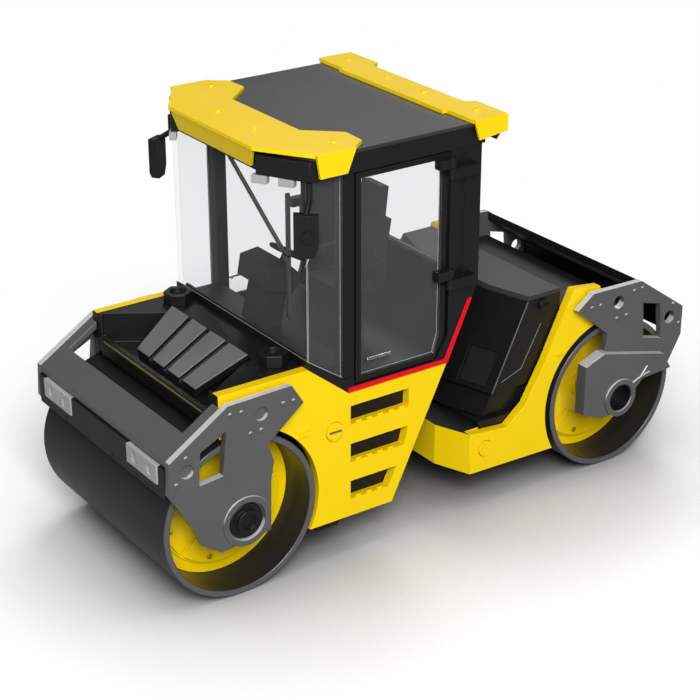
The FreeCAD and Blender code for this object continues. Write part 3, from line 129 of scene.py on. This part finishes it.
# Painted contact shadow on the floor: its darkest tone and its reach
PAINTED_SHADOW_TONE = (0.03, 0.03, 0.03)
PAINTED_SHADOW_REACH = 0.060
PAPER_INNER = 0.055
PAPER_OUTER = 0.108
WORLD_LIT = (0.10, 0.102, 0.105)
WHITE = (1.0, 1.0, 1.0)
LIGHT_TARGET = (0.0, 0.0, 0.03)
LIGHTS = [
    ("key", (0.42, -0.22, 0.36), 0.26, 3.8),
    ("top", (0.0, 0.0, 0.62), 0.26, 0.8),
    ("back", (-0.30, 0.28, 0.46), 0.26, 1.1),
    ("fill", (-0.15, -0.50, 0.25), 0.30, 0.4),
]


# Materials


def new_material(name):
    material = bpy.data.materials.new(name)
    material.use_nodes = True
    tree = material.node_tree
    tree.nodes.clear()
    out = tree.nodes.new("ShaderNodeOutputMaterial")
    shader = tree.nodes.new("ShaderNodeBsdfPrincipled")
    tree.links.new(shader.outputs["BSDF"], out.inputs["Surface"])
    return material, tree, shader


def noise(tree, scale, detail=3.0, roughness=0.55):
    place = tree.nodes.new("ShaderNodeTexCoord")
    node = tree.nodes.new("ShaderNodeTexNoise")
    node.inputs["Scale"].default_value = scale
    node.inputs["Detail"].default_value = detail
    node.inputs["Roughness"].default_value = roughness
    tree.links.new(place.outputs["Object"], node.inputs["Vector"])
    return node.outputs["Fac"]


def ramp(tree, source, low, high):
    """Maps a 0 to 1 value smoothly to the range low to high."""
    node = tree.nodes.new("ShaderNodeMapRange")
    node.inputs["To Min"].default_value = low
    node.inputs["To Max"].default_value = high
    tree.links.new(source, node.inputs["Value"])
    return node.outputs["Result"]


def mix_colour(tree, factor, first, second):
    node = tree.nodes.new("ShaderNodeMix")
    node.data_type = "RGBA"
    tree.links.new(factor, node.inputs["Factor"])
    for socket, value in (("A", first), ("B", second)):
        target = [s for s in node.inputs if s.name == socket and s.type == "RGBA"][0]
        if hasattr(value, "links"):
            tree.links.new(value, target)
        else:
            target.default_value = (*value, 1.0)
    return [s for s in node.outputs if s.type == "RGBA"][0]


def bump(tree, shader, height, strength, distance):
    node = tree.nodes.new("ShaderNodeBump")
    node.inputs["Strength"].default_value = strength
    node.inputs["Distance"].default_value = distance
    tree.links.new(height, node.inputs["Height"])
    tree.links.new(node.outputs["Normal"], shader.inputs["Normal"])


def shade(colour, share):
    return tuple(min(1.0, c * share) for c in colour)


def facing(tree, axis):
    """1 on faces that look along an axis, 0 on faces square to it."""
    place = tree.nodes.new("ShaderNodeTexCoord")
    parts = tree.nodes.new("ShaderNodeSeparateXYZ")
    tree.links.new(place.outputs["Normal"], parts.inputs["Vector"])
    size = tree.nodes.new("ShaderNodeMath")
    size.operation = "ABSOLUTE"
    tree.links.new(parts.outputs[axis], size.inputs[0])
    return size.outputs["Value"]


def enamel(name, colour, roughness=0.42, coat=0.08, grain=0.04):
    """Sprayed enamel: faint cloudy tone, painted shade that darkens level faces, orange-peel bump and a
    clear coat.
    """
    material, tree, shader = new_material(name)
    cloud = noise(tree, 160.0, 4.0)
    upright = mix_colour(tree, cloud, shade(colour, 0.94), shade(colour, 1.04))
    # Painted shade: faces that look up take a darker copy of the colour than upright faces
    level = mix_colour(tree, cloud, shade(colour, 0.74), shade(colour, 0.82))
    tone = mix_colour(tree, facing(tree, "Z"), upright, level)
    speck = noise(tree, 2600.0, 2.0)
    specked = mix_colour(tree, ramp(tree, speck, 0.0, 0.12), tone, shade(colour, 0.6))
    tree.links.new(specked, shader.inputs["Base Color"])
    tree.links.new(ramp(tree, cloud, roughness - 0.06, roughness + 0.08), shader.inputs["Roughness"])
    shader.inputs["Specular IOR Level"].default_value = 0.22
    shader.inputs["Coat Weight"].default_value = coat
    shader.inputs["Coat Roughness"].default_value = 0.14
    bump(tree, shader, noise(tree, 1400.0, 2.0), grain, 0.0002)
    return material


def highlit_edge_enamel(name, colour, edge):
    """Enamel on a stamped plate whose upward-facing cut edges take a pale metal-grey colour, a painted
    highlight.
    """
    material, tree, shader = new_material(name)
    cloud = noise(tree, 180.0, 4.0)
    face = mix_colour(tree, cloud, shade(colour, 0.88), shade(colour, 1.08))
    place = tree.nodes.new("ShaderNodeTexCoord")
    parts = tree.nodes.new("ShaderNodeSeparateXYZ")
    tree.links.new(place.outputs["Normal"], parts.inputs["Vector"])
    # Painted highlight: faces turned upwards, the top cut edges, take the pale edge colour
    step = tree.nodes.new("ShaderNodeMapRange")
    step.inputs["From Min"].default_value = 0.10
    step.inputs["From Max"].default_value = 0.35
    tree.links.new(parts.outputs["Z"], step.inputs["Value"])
    tree.links.new(mix_colour(tree, step.outputs["Result"], face, edge), shader.inputs["Base Color"])
    tree.links.new(ramp(tree, cloud, 0.30, 0.44), shader.inputs["Roughness"])
    shader.inputs["Metallic"].default_value = 0.15
    shader.inputs["Coat Weight"].default_value = 0.2
    shader.inputs["Coat Roughness"].default_value = 0.2
    bump(tree, shader, noise(tree, 1600.0, 2.0), 0.05, 0.0002)
    return material


def plastic(name, colour, roughness=0.45, grain=0.12, scale=2400.0):
    """Moulded plastic with a fine spark-eroded grain."""
    material, tree, shader = new_material(name)
    cloud = noise(tree, 140.0, 3.0)
    tone = mix_colour(tree, cloud, shade(colour, 0.8), shade(colour, 1.25))
    tree.links.new(tone, shader.inputs["Base Color"])
    tree.links.new(ramp(tree, cloud, roughness - 0.07, roughness + 0.09), shader.inputs["Roughness"])
    shader.inputs["Specular IOR Level"].default_value = 0.35
    bump(tree, shader, noise(tree, scale, 3.0), grain, 0.0002)
    return material


def rolled_steel(name, colour):
    """Painted drum skin, polished in fine rings where it runs on the ground."""
    material, tree, shader = new_material(name)
    place = tree.nodes.new("ShaderNodeTexCoord")
    stretch = tree.nodes.new("ShaderNodeMapping")
    stretch.inputs["Scale"].default_value = (2200.0, 26.0, 26.0)
    tree.links.new(place.outputs["Object"], stretch.inputs["Vector"])
    rings = tree.nodes.new("ShaderNodeTexNoise")
    rings.inputs["Scale"].default_value = 1.0
    rings.inputs["Detail"].default_value = 4.0
    tree.links.new(stretch.outputs["Vector"], rings.inputs["Vector"])
    ring = rings.outputs["Fac"]
    skin = mix_colour(tree, ring, shade(colour, 0.75), shade(colour, 1.3))
    rim = shade(colour, DRUM_RIM_TONE)
    tree.links.new(mix_colour(tree, facing(tree, "X"), skin, rim), shader.inputs["Base Color"])
    tree.links.new(ramp(tree, ring, 0.24, 0.42), shader.inputs["Roughness"])
    shader.inputs["Metallic"].default_value = 0.15
    shader.inputs["Specular IOR Level"].default_value = 0.28
    bump(tree, shader, ring, 0.06, 0.0001)
    return material


def metal(name, colour, roughness=0.22):
    material, tree, shader = new_material(name)
    cloud = noise(tree, 900.0, 3.0)
    tone = mix_colour(tree, cloud, shade(colour, 0.85), shade(colour, 1.1))
    tree.links.new(tone, shader.inputs["Base Color"])
    tree.links.new(ramp(tree, cloud, roughness - 0.05, roughness + 0.1), shader.inputs["Roughness"])
    shader.inputs["Metallic"].default_value = 1.0
    bump(tree, shader, cloud, 0.04, 0.0001)
    return material


def clear(name, tint, gloss, roughness):
    """Thin clear plastic: straight-through light with a faint gloss that varies with flow marks."""
    material = bpy.data.materials.new(name)
    material.use_nodes = True
    tree = material.node_tree
    tree.nodes.clear()
    out = tree.nodes.new("ShaderNodeOutputMaterial")
    through = tree.nodes.new("ShaderNodeBsdfTransparent")
    shine = tree.nodes.new("ShaderNodeBsdfPrincipled")
    join = tree.nodes.new("ShaderNodeMixShader")
    ripple = noise(tree, 60.0, 2.0)
    tree.links.new(mix_colour(tree, ripple, shade(tint, 0.985), tint), through.inputs["Color"])
    shine.inputs["Base Color"].default_value = (0.75, 0.76, 0.77, 1.0)
    shine.inputs["Roughness"].default_value = roughness
    tree.links.new(ramp(tree, ripple, gloss * 0.8, gloss * 1.2), join.inputs["Fac"])
    tree.links.new(through.outputs["BSDF"], join.inputs[1])
    tree.links.new(shine.outputs["BSDF"], join.inputs[2])
    tree.links.new(join.outputs["Shader"], out.inputs["Surface"])
    return material


MATERIALS = {
    "yellow": enamel("yellow_enamel", YELLOW),
    "plate": highlit_edge_enamel("plate_enamel", PLATE_GREY, PAINTED_HIGHLIGHT_GREY),
    "grey": enamel("grey_enamel", PLATE_GREY, 0.36, 0.15),
    "roof": plastic("roof_plastic", ROOF_GREY, 0.42, 0.10),
    "slat": plastic("slat_plastic", SLAT_GREY, 0.38, 0.08),
    "black": plastic("black_plastic", BLACK, 0.42, 0.14),
    "seat": plastic("seat_plastic", SEAT_BLACK, 0.5, 0.2, 1800.0),
    "drum": rolled_steel("drum_skin", DRUM_GREY),
    "red": enamel("red_enamel", RED, 0.4, 0.06),
    "lip": enamel("shaded_lip_enamel", SHADED_LIP_YELLOW),
    "silver": metal("silver_metal", SILVER),
    "steel": metal("dark_steel", STEEL_GREY, 0.3),
    "lamp": plastic("lamp_plastic", LAMP_GREY, 0.25, 0.05),
    "glass": clear("clear_plastic", GLASS_TINT, 0.035, 0.05),
    "glass_edge": clear("clear_plastic_edge", GLASS_EDGE_TINT, 0.6, 0.2),
    "mesh": plastic("grille_plastic", GRILLE_BLACK, 0.5, 0.2, 1300.0),
    "bead": plastic("bead_plastic_painted_highlight", BEAD_HIGHLIGHT_GREY, 0.4, 0.05),
}


# Rounded pieces made from the frame's nodes


# Pieces with openings in a flat face: their coplanar faces stay parted, or the openings fill up
PIERCED = {"engine_hood"}


def bevelled(source, name, width, merge):
    """Mesh of a node with its sharp edges rounded; merge joins its coplanar faces first."""
    mesh = source.data.copy()
    mesh.name = name + "_shape"
    shape = bmesh.new()
    shape.from_mesh(mesh)
    bmesh.ops.remove_doubles(shape, verts=shape.verts, dist=WELD * MM)
    if merge:
        bmesh.ops.dissolve_limit(
            shape, angle_limit=math.radians(COPLANAR_ANGLE), verts=shape.verts, edges=shape.edges,
            delimit={"NORMAL"}
        )
    shape.to_mesh(mesh)
    shape.free()
    piece = bpy.data.objects.new(name, mesh)
    bpy.context.scene.collection.objects.link(piece)
    edge = piece.modifiers.new("edge", "BEVEL")
    edge.width = width * MM
    edge.segments = BEVEL_SEGMENTS
    edge.limit_method = "ANGLE"
    edge.angle_limit = math.radians(BEVEL_ANGLE)
    edge.use_clamp_overlap = True
    edge.miter_outer = "MITER_ARC"
    for face in mesh.polygons:
        face.use_smooth = True
    mesh.set_sharp_from_angle(angle=math.radians(SHARP_ANGLE))
    level = piece.modifiers.new("level", "WEIGHTED_NORMAL")
    level.keep_sharp = True
    level.weight = 100
    bpy.context.view_layer.update()
    graph = bpy.context.evaluated_depsgraph_get()
    baked = bpy.data.meshes.new_from_object(piece.evaluated_get(graph))
    piece.modifiers.clear()
    piece.data = baked
    return piece


def surface(mesh):
    shape = bmesh.new()
    shape.from_mesh(mesh)
    bmesh.ops.triangulate(shape, faces=shape.faces)
    total = sum(face.calc_area() for face in shape.faces)
    shape.free()
    return total


def rounded(node, material, width):
    """Copy of a node with softly rounded edges, shown in the node's place."""
    source = frame["nodes"][node]
    piece = bevelled(source, node + "_rounded", width, node not in PIERCED)
    if abs(surface(piece.data) / surface(source.data) - 1.0) > AREA_CHANGE:
        bpy.data.objects.remove(piece)
        piece = bevelled(source, node + "_rounded", width, False)
    baked = piece.data
    baked.materials.clear()
    baked.materials.append(MATERIALS[material])
    if material == "glass":
        mark_narrow_faces(baked)
    if node in SECOND_FINISH:
        finish, test = SECOND_FINISH[node]
        mark_faces(baked, finish, test)
    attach(piece, body_of_node(node))
    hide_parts(node)
    return piece


def mark_faces(mesh, finish, test):
    """Gives another finish to the faces whose centre, in millimetres, and normal pass a test."""
    mesh.materials.append(MATERIALS[finish])
    for face in mesh.polygons:
        if test(face.center / MM, face.normal):
            face.material_index = 1


def panel_inside(centre, normal):
    """Inner face, front end and belly of a front side panel."""
    under = centre.z < PANEL_BELLY and normal.z < -0.5
    return centre.x * normal.x < -1.0 or centre.y < PANEL_FRONT_END or under


def slat_groove(centre, normal):
    """Everything of the slatted cover that lies under the slats' own top faces."""
    plane = SLAT_FOOT_Z + (centre.y - SLAT_FOOT_Y) * SLAT_SLOPE
    return centre.z < plane + SLAT_MARGIN


def nose_top(centre, normal):
    return normal.z > 0.5


SECOND_FINISH = {
    "front_side_panel_left": ("black", panel_inside),
    "front_side_panel_right": ("black", panel_inside),
    "hood_slats": ("black", slat_groove),
    "rear_nose": ("black", nose_top),
}


def mark_narrow_faces(mesh):
    """Gives the cut and rounded edges of a clear piece their own paler finish."""
    mesh.materials.append(MATERIALS["glass_edge"])
    for face in mesh.polygons:
        corners = [mesh.vertices[v].co for v in face.vertices]
        longest = max((corners[i] - corners[i - 1]).length for i in range(len(corners)))
        if face.area < NARROW_FACE * MM * longest:
            face.material_index = 1


def body_of_node(node):
    for body, nodes in frame["record"]["behaviour"]["bodies"].items():
        if node in nodes:
            return body
    raise KeyError(node)


NODE_LOOKS = [
    ("yellow", 0.14, ["front_side_panel_left", "front_side_panel_right", "roof_plate_front",
                      "roof_plate_rear", "rear_side_panel_left", "rear_side_panel_right", "rear_nose",
                      "front_drum_discs", "rear_drum_discs", "side_caps", "rear_side_caps"]),
    ("plate", 0.16, ["front_plate_left", "front_plate_right", "rear_plate_left", "rear_plate_right"]),
    ("grey", 0.14, ["front_cross_plate"]),
    ("roof", 0.12, ["roof_panel", "hood_lid"]),
    ("slat", 0.12, ["hood_slats"]),
    ("drum", 0.18, ["front_drum", "rear_drum"]),
    ("red", 0.03, ["red_trim"]),
    ("silver", 0.05, ["door_handle_left", "door_handle_right", "front_axle", "rear_axle", "pivot_pin",
                      "base_screws"]),
    ("lamp", 0.08, ["headlamps", "roof_lamps"]),
    ("glass", 0.05, ["windscreen", "rear_window", "door_glass_left", "door_glass_right"]),
    ("mesh", 0.05, ["hood_vents"]),
    ("seat", 0.35, ["seat", "console"]),
    ("black", 0.12, ["bumper", "cab_floor", "cab_frame", "cross_bar", "door_frame_left", "door_frame_right",
                     "door_hinges", "engine_hood", "front_chassis", "front_deck", "front_scraper",
                     "hood_locks", "hub_caps", "light_boxes", "mirrors", "rear_chassis", "rear_cross_beam",
                     "rear_deck", "rear_lamps", "rear_scraper", "steering_wheel", "water_caps"]),
    ("steel", 0.05, ["wiper"]),
]


def dress_nodes():
    for material, width, nodes in NODE_LOOKS:
        for node in nodes:
            rounded(node, material, width)


# Pieces added in mesh code


def mesh_piece(name, vertices, faces, material, body):
    mesh = bpy.data.meshes.new(name)
    mesh.from_pydata([tuple(c * MM for c in v) for v in vertices], [], faces)
    mesh.materials.append(MATERIALS[material])
    mesh.validate()
    piece = bpy.data.objects.new(name, mesh)
    bpy.context.scene.collection.objects.link(piece)
    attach(piece, body)
    return piece


def soften(piece, width):
    edge = piece.modifiers.new("edge", "BEVEL")
    edge.width = width * MM
    edge.segments = BEVEL_SEGMENTS
    edge.limit_method = "ANGLE"
    edge.angle_limit = math.radians(DISC_PANEL_EDGE_ANGLE)


def tube(name, points, radius, material, body):
    """Thin round bead along straight runs."""
    curve = bpy.data.curves.new(name, "CURVE")
    curve.dimensions = "3D"
    curve.bevel_depth = radius * MM
    curve.bevel_resolution = 3
    line = curve.splines.new("POLY")
    line.points.add(len(points) - 1)
    for spot, place in zip(line.points, points):
        spot.co = (place[0] * MM, place[1] * MM, place[2] * MM, 1.0)
    curve.use_fill_caps = True
    curve.materials.append(MATERIALS[material])
    piece = bpy.data.objects.new(name, curve)
    bpy.context.scene.collection.objects.link(piece)
    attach(piece, body)
    return piece


def sector(name, centre, radii, span, depth, side, material, body):
    """Flat ring segment on a drum disc, with its outer face at x = depth on the given side."""
    inner, outer = radii
    start, end = span
    vertices = []
    for level in (depth - DISC_PANEL_THICK, depth):
        for radius in (inner, outer):
            for step in range(DISC_PANEL_STEPS + 1):
                angle = math.radians(start + (end - start) * step / DISC_PANEL_STEPS)
                y = centre[0] + radius * math.cos(angle)
                z = centre[1] + radius * math.sin(angle)
                vertices.append((side * level, y, z))
    row = DISC_PANEL_STEPS + 1
    faces = []
    for step in range(DISC_PANEL_STEPS):
        for first, second in ((0, 1), (1, 3), (3, 2), (2, 0)):
            near = first * row + step
            far = second * row + step
            faces.append((near, near + 1, far + 1, far))
    for step in (0, DISC_PANEL_STEPS):
        faces.append((step, row + step, 3 * row + step, 2 * row + step))
    piece = mesh_piece(name, vertices, faces, material, body)
    shape = bmesh.new()
    shape.from_mesh(piece.data)
    bmesh.ops.recalc_face_normals(shape, faces=shape.faces)
    shape.to_mesh(piece.data)
    shape.free()
    soften(piece, DISC_PANEL_EDGE)
    return piece


def node_range(node):
    low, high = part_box(node)
    return [c / MM for c in low], [c / MM for c in high]


def middle(node):
    """Middle of a node's box in Y and Z."""
    low, high = node_range(node)
    return (low[1] + high[1]) / 2.0, (low[2] + high[2]) / 2.0


def disc_sectors():
    """Raised panels on the recessed discs, with gaps between them."""
    for end in ("front", "rear"):
        body = end + "_roller"
        centre = middle(end + "_drum")
        depth = node_range(end + "_drum_discs")[1][0] - DISC_PANEL_SUNK
        for side, word in ((1, "left"), (-1, "right")):
            for index in range(DISC_PANELS):
                start = 360 // DISC_PANELS * index + DISC_PANEL_START
                span = (start, start + DISC_PANEL_SPAN)
                name = "%s_disc_panel_%s_%d" % (end, word, index)
                sector(name, centre, DISC_PANEL_RADII, span, depth, side, "yellow", body)


def hood_creases():
    """Raised beads on both flanks of the hood and along its two front edges, whose pale grey paints the
    highlights they catch on the black hood.
    """
    x = node_range("engine_hood")[1][0] - PAINT_DEPTH
    for side, word in ((1, "left"), (-1, "right")):
        for kind, run in (("bead", HOOD_PANEL_BEAD), ("edge", HOOD_EDGE_BEAD)):
            places = [(side * x, y, z) for y, z in run]
            name = "hood_%s_%s" % (kind, word)
            tube(name, places, HOOD_BEAD_RADIUS, "bead", "rear_frame")


def hub_shade_liners():
    """Black liners that close the hub rings of the rear plates, painted shade for the deep holes."""
    y, z = middle("rear_drum")
    last = len(LINER_PROFILE) - 1
    for side, word in ((1, "left"), (-1, "right")):
        vertices = []
        for x, radius in LINER_PROFILE:
            for turn in range(LINER_SIDES):
                angle = 2.0 * math.pi * turn / LINER_SIDES
                vertices.append((side * x, y + radius * math.cos(angle), z + radius * math.sin(angle)))
        faces = []
        for level in range(last):
            here = level * LINER_SIDES
            above = here + LINER_SIDES
            for turn in range(LINER_SIDES):
                after = (turn + 1) % LINER_SIDES
                faces.append((here + turn, here + after, above + after, above + turn))
        faces.append(tuple(last * LINER_SIDES + turn for turn in range(LINER_SIDES)))
        mesh_piece("rear_hub_liner_" + word, vertices, faces, "black", "rear_frame")


def hub_ribs():
    """Forked rib beside each rear hub ring."""
    y, z = middle("rear_drum")
    for side, word in ((1, "left"), (-1, "right")):
        for letter, run in (("a", RIB_STEM), ("b", RIB_FORK)):
            places = [(side * RIB_X, y + out, z + rise) for out, rise in run]
            name = "hub_rib_%s_%s" % (letter, word)
            tube(name, places, RIB_RADIUS, "plate", "rear_frame")


def bar_line():
    """Yellow lip on the front edge of the bar before the slatted cover, in a darkened yellow that is
    painted shade.
    """
    low, high = node_range("cross_bar")
    end = high[0] - LIP_END
    y = low[1] + LIP_SETBACK
    z = high[2] - LIP_SUNK
    tube("cross_bar_lip", [(-end, y, z), (end, y, z)], LIP_RADIUS, "lip", "front_frame")


def cap_slots():
    """Bright metal in the coin slot of each filler cap on the front side panels."""
    low, high = node_range("side_caps")
    y, z = middle("side_caps")
    reach = SLOT_SHARE * (high[1] - low[1]) / 2.0
    for side, word in ((1, "left"), (-1, "right")):
        x = side * (high[0] - PAINT_DEPTH)
        places = [(x, y - reach, z), (x, y + reach, z)]
        tube("cap_slot_" + word, places, SLOT_RADIUS, "silver", "front_frame")


def added_pieces():
    disc_sectors()
    hood_creases()
    hub_shade_liners()
    hub_ribs()
    bar_line()
    cap_slots()


# Stage


def make_camera():
    level = math.cos(ELEVATION)
    back = Vector((math.sin(AZIMUTH) * level, -math.cos(AZIMUTH) * level, math.sin(ELEVATION)))
    right = Vector((math.cos(AZIMUTH), math.sin(AZIMUTH), 0.0))
    up = back.cross(right)
    turn = Matrix((right, up, back)).transposed().to_4x4()
    data = bpy.data.cameras.new("camera")
    data.lens = CAMERA_LENS
    data.sensor_width = SENSOR_WIDTH
    data.clip_start = 0.01
    camera = bpy.data.objects.new("camera", data)
    camera.matrix_world = Matrix.Translation(CAMERA_PLACE) @ turn
    bpy.context.scene.collection.objects.link(camera)
    bpy.context.scene.camera = camera


def area_light(name, place, target, size, power):
    data = bpy.data.lights.new(name, "AREA")
    data.shape = "SQUARE"
    data.size = size
    data.energy = power
    light = bpy.data.objects.new(name, data)
    light.location = place
    aim = Vector(target) - Vector(place)
    light.rotation_euler = aim.to_track_quat("-Z", "Y").to_euler()
    bpy.context.scene.collection.objects.link(light)


def seen_directly(tree):
    """1 for camera and transmission rays, 0 for the rays that light the object."""
    path = tree.nodes.new("ShaderNodeLightPath")
    either = tree.nodes.new("ShaderNodeMath")
    either.operation = "MAXIMUM"
    tree.links.new(path.outputs["Is Camera Ray"], either.inputs[0])
    tree.links.new(path.outputs["Is Transmission Ray"], either.inputs[1])
    return either.outputs["Value"]


def make_floor():
    """Pale paper that takes the object's shadow, darkened near the object by a painted contact shadow from
    ambient occlusion, and turns evenly white further out.
    """
    mesh = bpy.data.meshes.new("floor")
    corners = [(x * FLOOR_HALF, y * FLOOR_HALF, 0) for x, y in ((-1, -1), (1, -1), (1, 1), (-1, 1))]
    mesh.from_pydata(corners, [], [(0, 1, 2, 3)])
    floor = bpy.data.objects.new("floor", mesh)
    bpy.context.scene.collection.objects.link(floor)
    material, tree, shader = new_material("floor_paper")
    seen = seen_directly(tree)
    # Painted shadow: the paper's colour darkens where ambient occlusion finds the object close by
    painted_shadow = tree.nodes.new("ShaderNodeAmbientOcclusion")
    painted_shadow.samples = 12
    painted_shadow.inputs["Distance"].default_value = PAINTED_SHADOW_REACH
    paper = mix_colour(tree, painted_shadow.outputs["AO"], PAINTED_SHADOW_TONE, FLOOR_SHOWN)
    tree.links.new(mix_colour(tree, seen, FLOOR_LIT, paper), shader.inputs["Base Color"])
    shader.inputs["Roughness"].default_value = 0.9
    shader.inputs["Specular IOR Level"].default_value = 0.0
    place = tree.nodes.new("ShaderNodeTexCoord")
    reach = tree.nodes.new("ShaderNodeVectorMath")
    reach.operation = "LENGTH"
    tree.links.new(place.outputs["Object"], reach.inputs[0])
    fade = tree.nodes.new("ShaderNodeMapRange")
    fade.interpolation_type = "SMOOTHSTEP"
    fade.inputs["From Min"].default_value = PAPER_INNER
    fade.inputs["From Max"].default_value = PAPER_OUTER
    tree.links.new(reach.outputs["Value"], fade.inputs["Value"])
    share = tree.nodes.new("ShaderNodeMath")
    share.operation = "MULTIPLY"
    tree.links.new(fade.outputs["Result"], share.inputs[0])
    tree.links.new(seen, share.inputs[1])
    white = tree.nodes.new("ShaderNodeEmission")
    white.inputs["Color"].default_value = (*WHITE, 1.0)
    join = tree.nodes.new("ShaderNodeMixShader")
    tree.links.new(share.outputs["Value"], join.inputs["Fac"])
    tree.links.new(shader.outputs["BSDF"], join.inputs[1])
    tree.links.new(white.outputs["Emission"], join.inputs[2])
    out = [n for n in tree.nodes if n.type == "OUTPUT_MATERIAL"][0]
    tree.links.new(join.outputs["Shader"], out.inputs["Surface"])
    mesh.materials.append(material)


def make_world():
    world = bpy.data.worlds.new("studio")
    world.use_nodes = True
    tree = world.node_tree
    sky = tree.nodes["Background"]
    tree.links.new(mix_colour(tree, seen_directly(tree), WORLD_LIT, WHITE), sky.inputs["Color"])
    sky.inputs["Strength"].default_value = 1.0
    bpy.context.scene.world = world


def make_lights():
    for name, place, size, power in LIGHTS:
        area_light(name, place, LIGHT_TARGET, size, power)


def main():
    dress_nodes()
    added_pieces()
    make_camera()
    make_floor()
    make_world()
    make_lights()
    bpy.context.scene.view_settings.view_transform = "Standard"


main()
